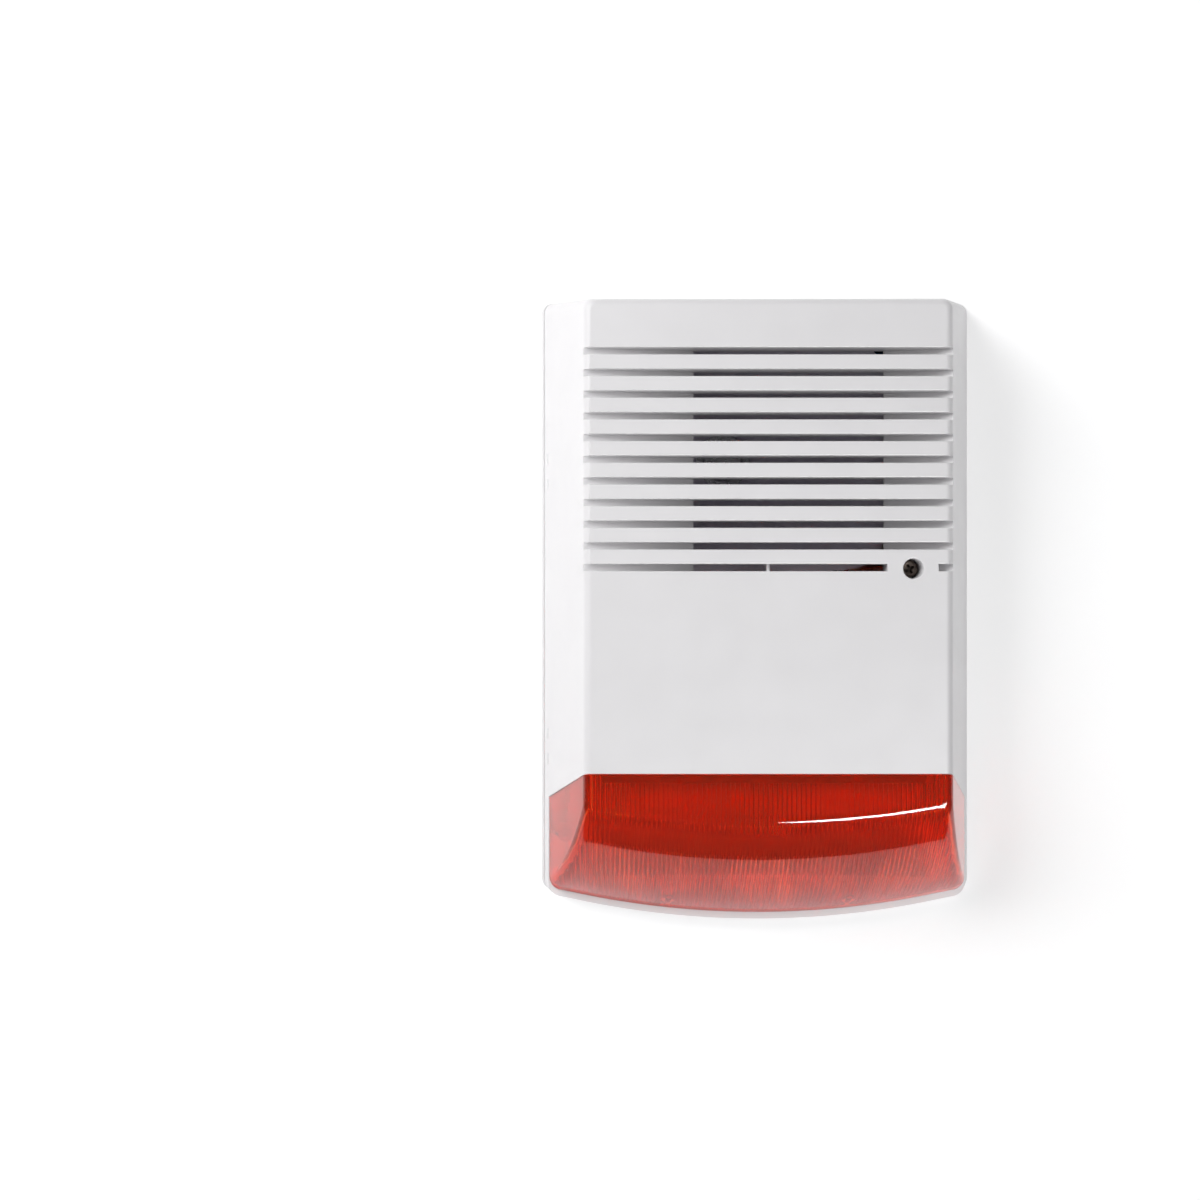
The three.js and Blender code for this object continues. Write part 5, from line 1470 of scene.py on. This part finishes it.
def leads():
    plug_x, plug_z = middle("battery_header")
    siren_x, siren_z = middle("siren_header")
    strobe_x, strobe_z = middle("strobe_header")
    for node, offset, slot in (
        ("battery_lead_red", 2.4, "red_lead"),
        ("battery_lead_black", -2.4, "black_lead"),
    ):
        start = 44 + offset
        end = plug_x + offset * 0.5
        points = [(start, -11, BATTERY_LOW.z - 0.5), (start - 1, -12, 26), (start - 8, -17, 16)]
        points += [(end + 6, -24, 6), (end + 0.4, -27.5, -1), (end, -26, plug_z), (end, -23.3, plug_z)]
        lead(node, points, LEAD_RADIUS, slot)
    for node, offset, slot in (
        ("siren_lead_red", HALF_PITCH, "red_lead"),
        ("siren_lead_black", -HALF_PITCH, "black_lead"),
    ):
        start = HORN_X + offset * 2
        end = siren_x + offset
        points = [(start, -16, HORN_Z - 22.6), (start, -15, 40), (end + offset, -17, 24)]
        points += [(end, -24, 6), (end, -25, siren_z), (end, -18.4, siren_z)]
        lead(node, points, LEAD_RADIUS, slot)
    points = [(strobe_x, -18.4, strobe_z), (strobe_x, -24, strobe_z - 1), (-24, -29, -16)]
    points += [(-36, -28, -40), (-34, -27, -58), (-32, -20, -68), (-31, -8, -77)]
    points += [(-30, -6, -88), (-30, -7.6, -93), (-30, -9.4, -93.6)]
    lead("strobe_lead", points, STROBE_LEAD_RADIUS, "grey_plastic")


# ------------------------------------------------------------------ carried-over CAD nodes

WELD_DISTANCE = 0.00001
BEVEL_WIDTH = 0.00015
BEVEL_ANGLE = 40


def crease_group():
    """Geometry nodes that smooth a mesh and keep its sharp edges."""
    group = bpy.data.node_groups.new("smooth_by_angle", "GeometryNodeTree")
    group.interface.new_socket("Geometry", in_out="INPUT", socket_type="NodeSocketGeometry")
    group.interface.new_socket("Geometry", in_out="OUTPUT", socket_type="NodeSocketGeometry")
    start = group.nodes.new("NodeGroupInput")
    end = group.nodes.new("NodeGroupOutput")
    faces = group.nodes.new("GeometryNodeSetShadeSmooth")
    edges = group.nodes.new("GeometryNodeSetShadeSmooth")
    edges.domain = "EDGE"
    edges.inputs["Shade Smooth"].default_value = False
    angle = group.nodes.new("GeometryNodeInputMeshEdgeAngle")
    sharp = group.nodes.new("FunctionNodeCompare")
    sharp.operation = "GREATER_THAN"
    sharp.inputs["B"].default_value = math.radians(CREASE)
    group.links.new(start.outputs[0], faces.inputs["Geometry"])
    group.links.new(faces.outputs["Geometry"], edges.inputs["Geometry"])
    group.links.new(angle.outputs["Unsigned Angle"], sharp.inputs["A"])
    group.links.new(sharp.outputs["Result"], edges.inputs["Selection"])
    group.links.new(edges.outputs["Geometry"], end.inputs[0])
    return group


def dress_nodes():
    """Gives every CAD node its slot's finish, softened edges and smooth round faces."""
    group = crease_group()
    slots = {row["node"]: row["material_slot"] for row in frame["record"]["subparts"]}
    for name, node in frame["nodes"].items():
        finish = HORN_PLASTIC if name == "siren_horn" else FINISHES[slots[name]]
        for i in range(len(node.material_slots)):
            node.material_slots[i].material = finish
        if node.hide_render:
            continue
        weld = node.modifiers.new("weld", "WELD")
        weld.merge_threshold = WELD_DISTANCE
        bevel = node.modifiers.new("bevel", "BEVEL")
        bevel.width = BEVEL_WIDTH
        bevel.segments = 2
        bevel.limit_method = "ANGLE"
        bevel.angle_limit = math.radians(BEVEL_ANGLE)
        crease = node.modifiers.new("crease", "NODES")
        crease.node_group = group
        node.modifiers.new("normals", "WEIGHTED_NORMAL").keep_sharp = True


# ------------------------------------------------------------------ stage, lights and camera

CAMERA_PLACE = (-0.0708, -0.757, 0.0041)
CAMERA_LENS = 49.5
SENSOR = 36
LIT_PLACE = Vector((0, -0.03, 0))
PAPER_DEPTH = 0.0008
PAPER_HALF = 1.6
PAPER_GLOW = 0.32
SKY = (0.5, 0.5, 0.52, 1)
SKY_STRENGTH = 0.2


def camera():
    """The camera at the photograph's viewing angle."""
    data = bpy.data.cameras.new("camera")
    data.lens = CAMERA_LENS
    data.sensor_width = SENSOR
    made = bpy.data.objects.new("camera", data)
    made.location = CAMERA_PLACE
    made.rotation_euler = (math.radians(90), 0, 0)
    scene.collection.objects.link(made)
    scene.camera = made


def panel(name, place, size, power, seen_by=("diffuse", "glossy", "transmission")):
    """A soft light panel that faces the object, seen by the given kinds of ray."""
    data = bpy.data.lights.new(name, "AREA")
    data.shape = "RECTANGLE"
    data.size, data.size_y = size
    data.energy = power
    made = bpy.data.objects.new(name, data)
    made.visible_diffuse = "diffuse" in seen_by
    made.visible_glossy = "glossy" in seen_by
    made.visible_transmission = "transmission" in seen_by
    made.location = place
    made.rotation_euler = (LIT_PLACE - Vector(place)).to_track_quat("-Z", "Y").to_euler()
    scene.collection.objects.link(made)


def backdrop_material(glow):
    """Pale paper that is seen from its front only."""
    material, tree, shader = nodes_of("pale_paper")
    tone = tinted(tree, noise(tree, 6, 2), (0.88, 0.88, 0.88), (0.90, 0.90, 0.90))
    tree.links.new(tone, shader.inputs["Base Color"])
    shader.inputs["Roughness"].default_value = 0.9
    shader.inputs["Emission Color"].default_value = (1, 1, 1, 1)
    shader.inputs["Emission Strength"].default_value = glow
    side = tree.nodes.new("ShaderNodeNewGeometry")
    clear = tree.nodes.new("ShaderNodeBsdfTransparent")
    mix = tree.nodes.new("ShaderNodeMixShader")
    tree.links.new(side.outputs["Backfacing"], mix.inputs["Fac"])
    tree.links.new(shader.outputs["BSDF"], mix.inputs[1])
    tree.links.new(clear.outputs["BSDF"], mix.inputs[2])
    tree.links.new(mix.outputs["Shader"], tree.nodes["Material Output"].inputs["Surface"])
    return material


def sheet_of(name, corners, material):
    """A flat sheet of the stage, which is not part of the object."""
    mesh = bpy.data.meshes.new(name)
    mesh.from_pydata(corners, [], [(0, 1, 2, 3)])
    mesh.materials.append(material)
    made = bpy.data.objects.new(name, mesh)
    scene.collection.objects.link(made)


def stage():
    """The pale surface behind the object, the soft panels and the sky."""
    half = PAPER_HALF
    corners = [(x, PAPER_DEPTH, z) for x, z in ((-half, -half), (half, -half), (half, half), (-half, half))]
    sheet_of("backdrop", corners, backdrop_material(PAPER_GLOW))
    panel("key", (-0.66, -0.72, 0.48), (0.6, 0.6), 8.3)
    panel("low", (-0.1, -1.0, -1.2), (1.4, 0.8), 10, seen_by=("diffuse",))
    panel("side", (1.3, -1.1, 0.35), (0.9, 1.2), 6, seen_by=("diffuse",))
    panel("strip", (0.55, -1.15, -0.76), (0.75, 0.46), 45, seen_by=("glossy",))
    panel("glint", (0.0, -1.1, -0.80), (1.6, 0.04), 6, seen_by=("transmission",))
    world = bpy.data.worlds.new("studio")
    world.use_nodes = True
    background = world.node_tree.nodes["Background"]
    background.inputs["Color"].default_value = SKY
    background.inputs["Strength"].default_value = SKY_STRENGTH
    scene.world = world
    scene.view_settings.view_transform = "Standard"


camera()
front_cover()
strobe_lens()
cover_screw()
screw_insert()
hinge_pins()
base_plate()
cable_grommet()
siren_horn()
siren_driver()
backup_battery()
battery_clamp()
circuit_board()
terminal_block()
relay()
reservoir_capacitor()
step_up_coil()
driver_chip()
power_transistor()
headers()
tamper_switch()
spring = tamper_spring()
board_piece("strobe_board", "lamp_board", STROBE_SCREWS)
strobe_reflector()
strobe_leds()
small_screws()
leads()
dress_nodes()
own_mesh(spring)
stage()
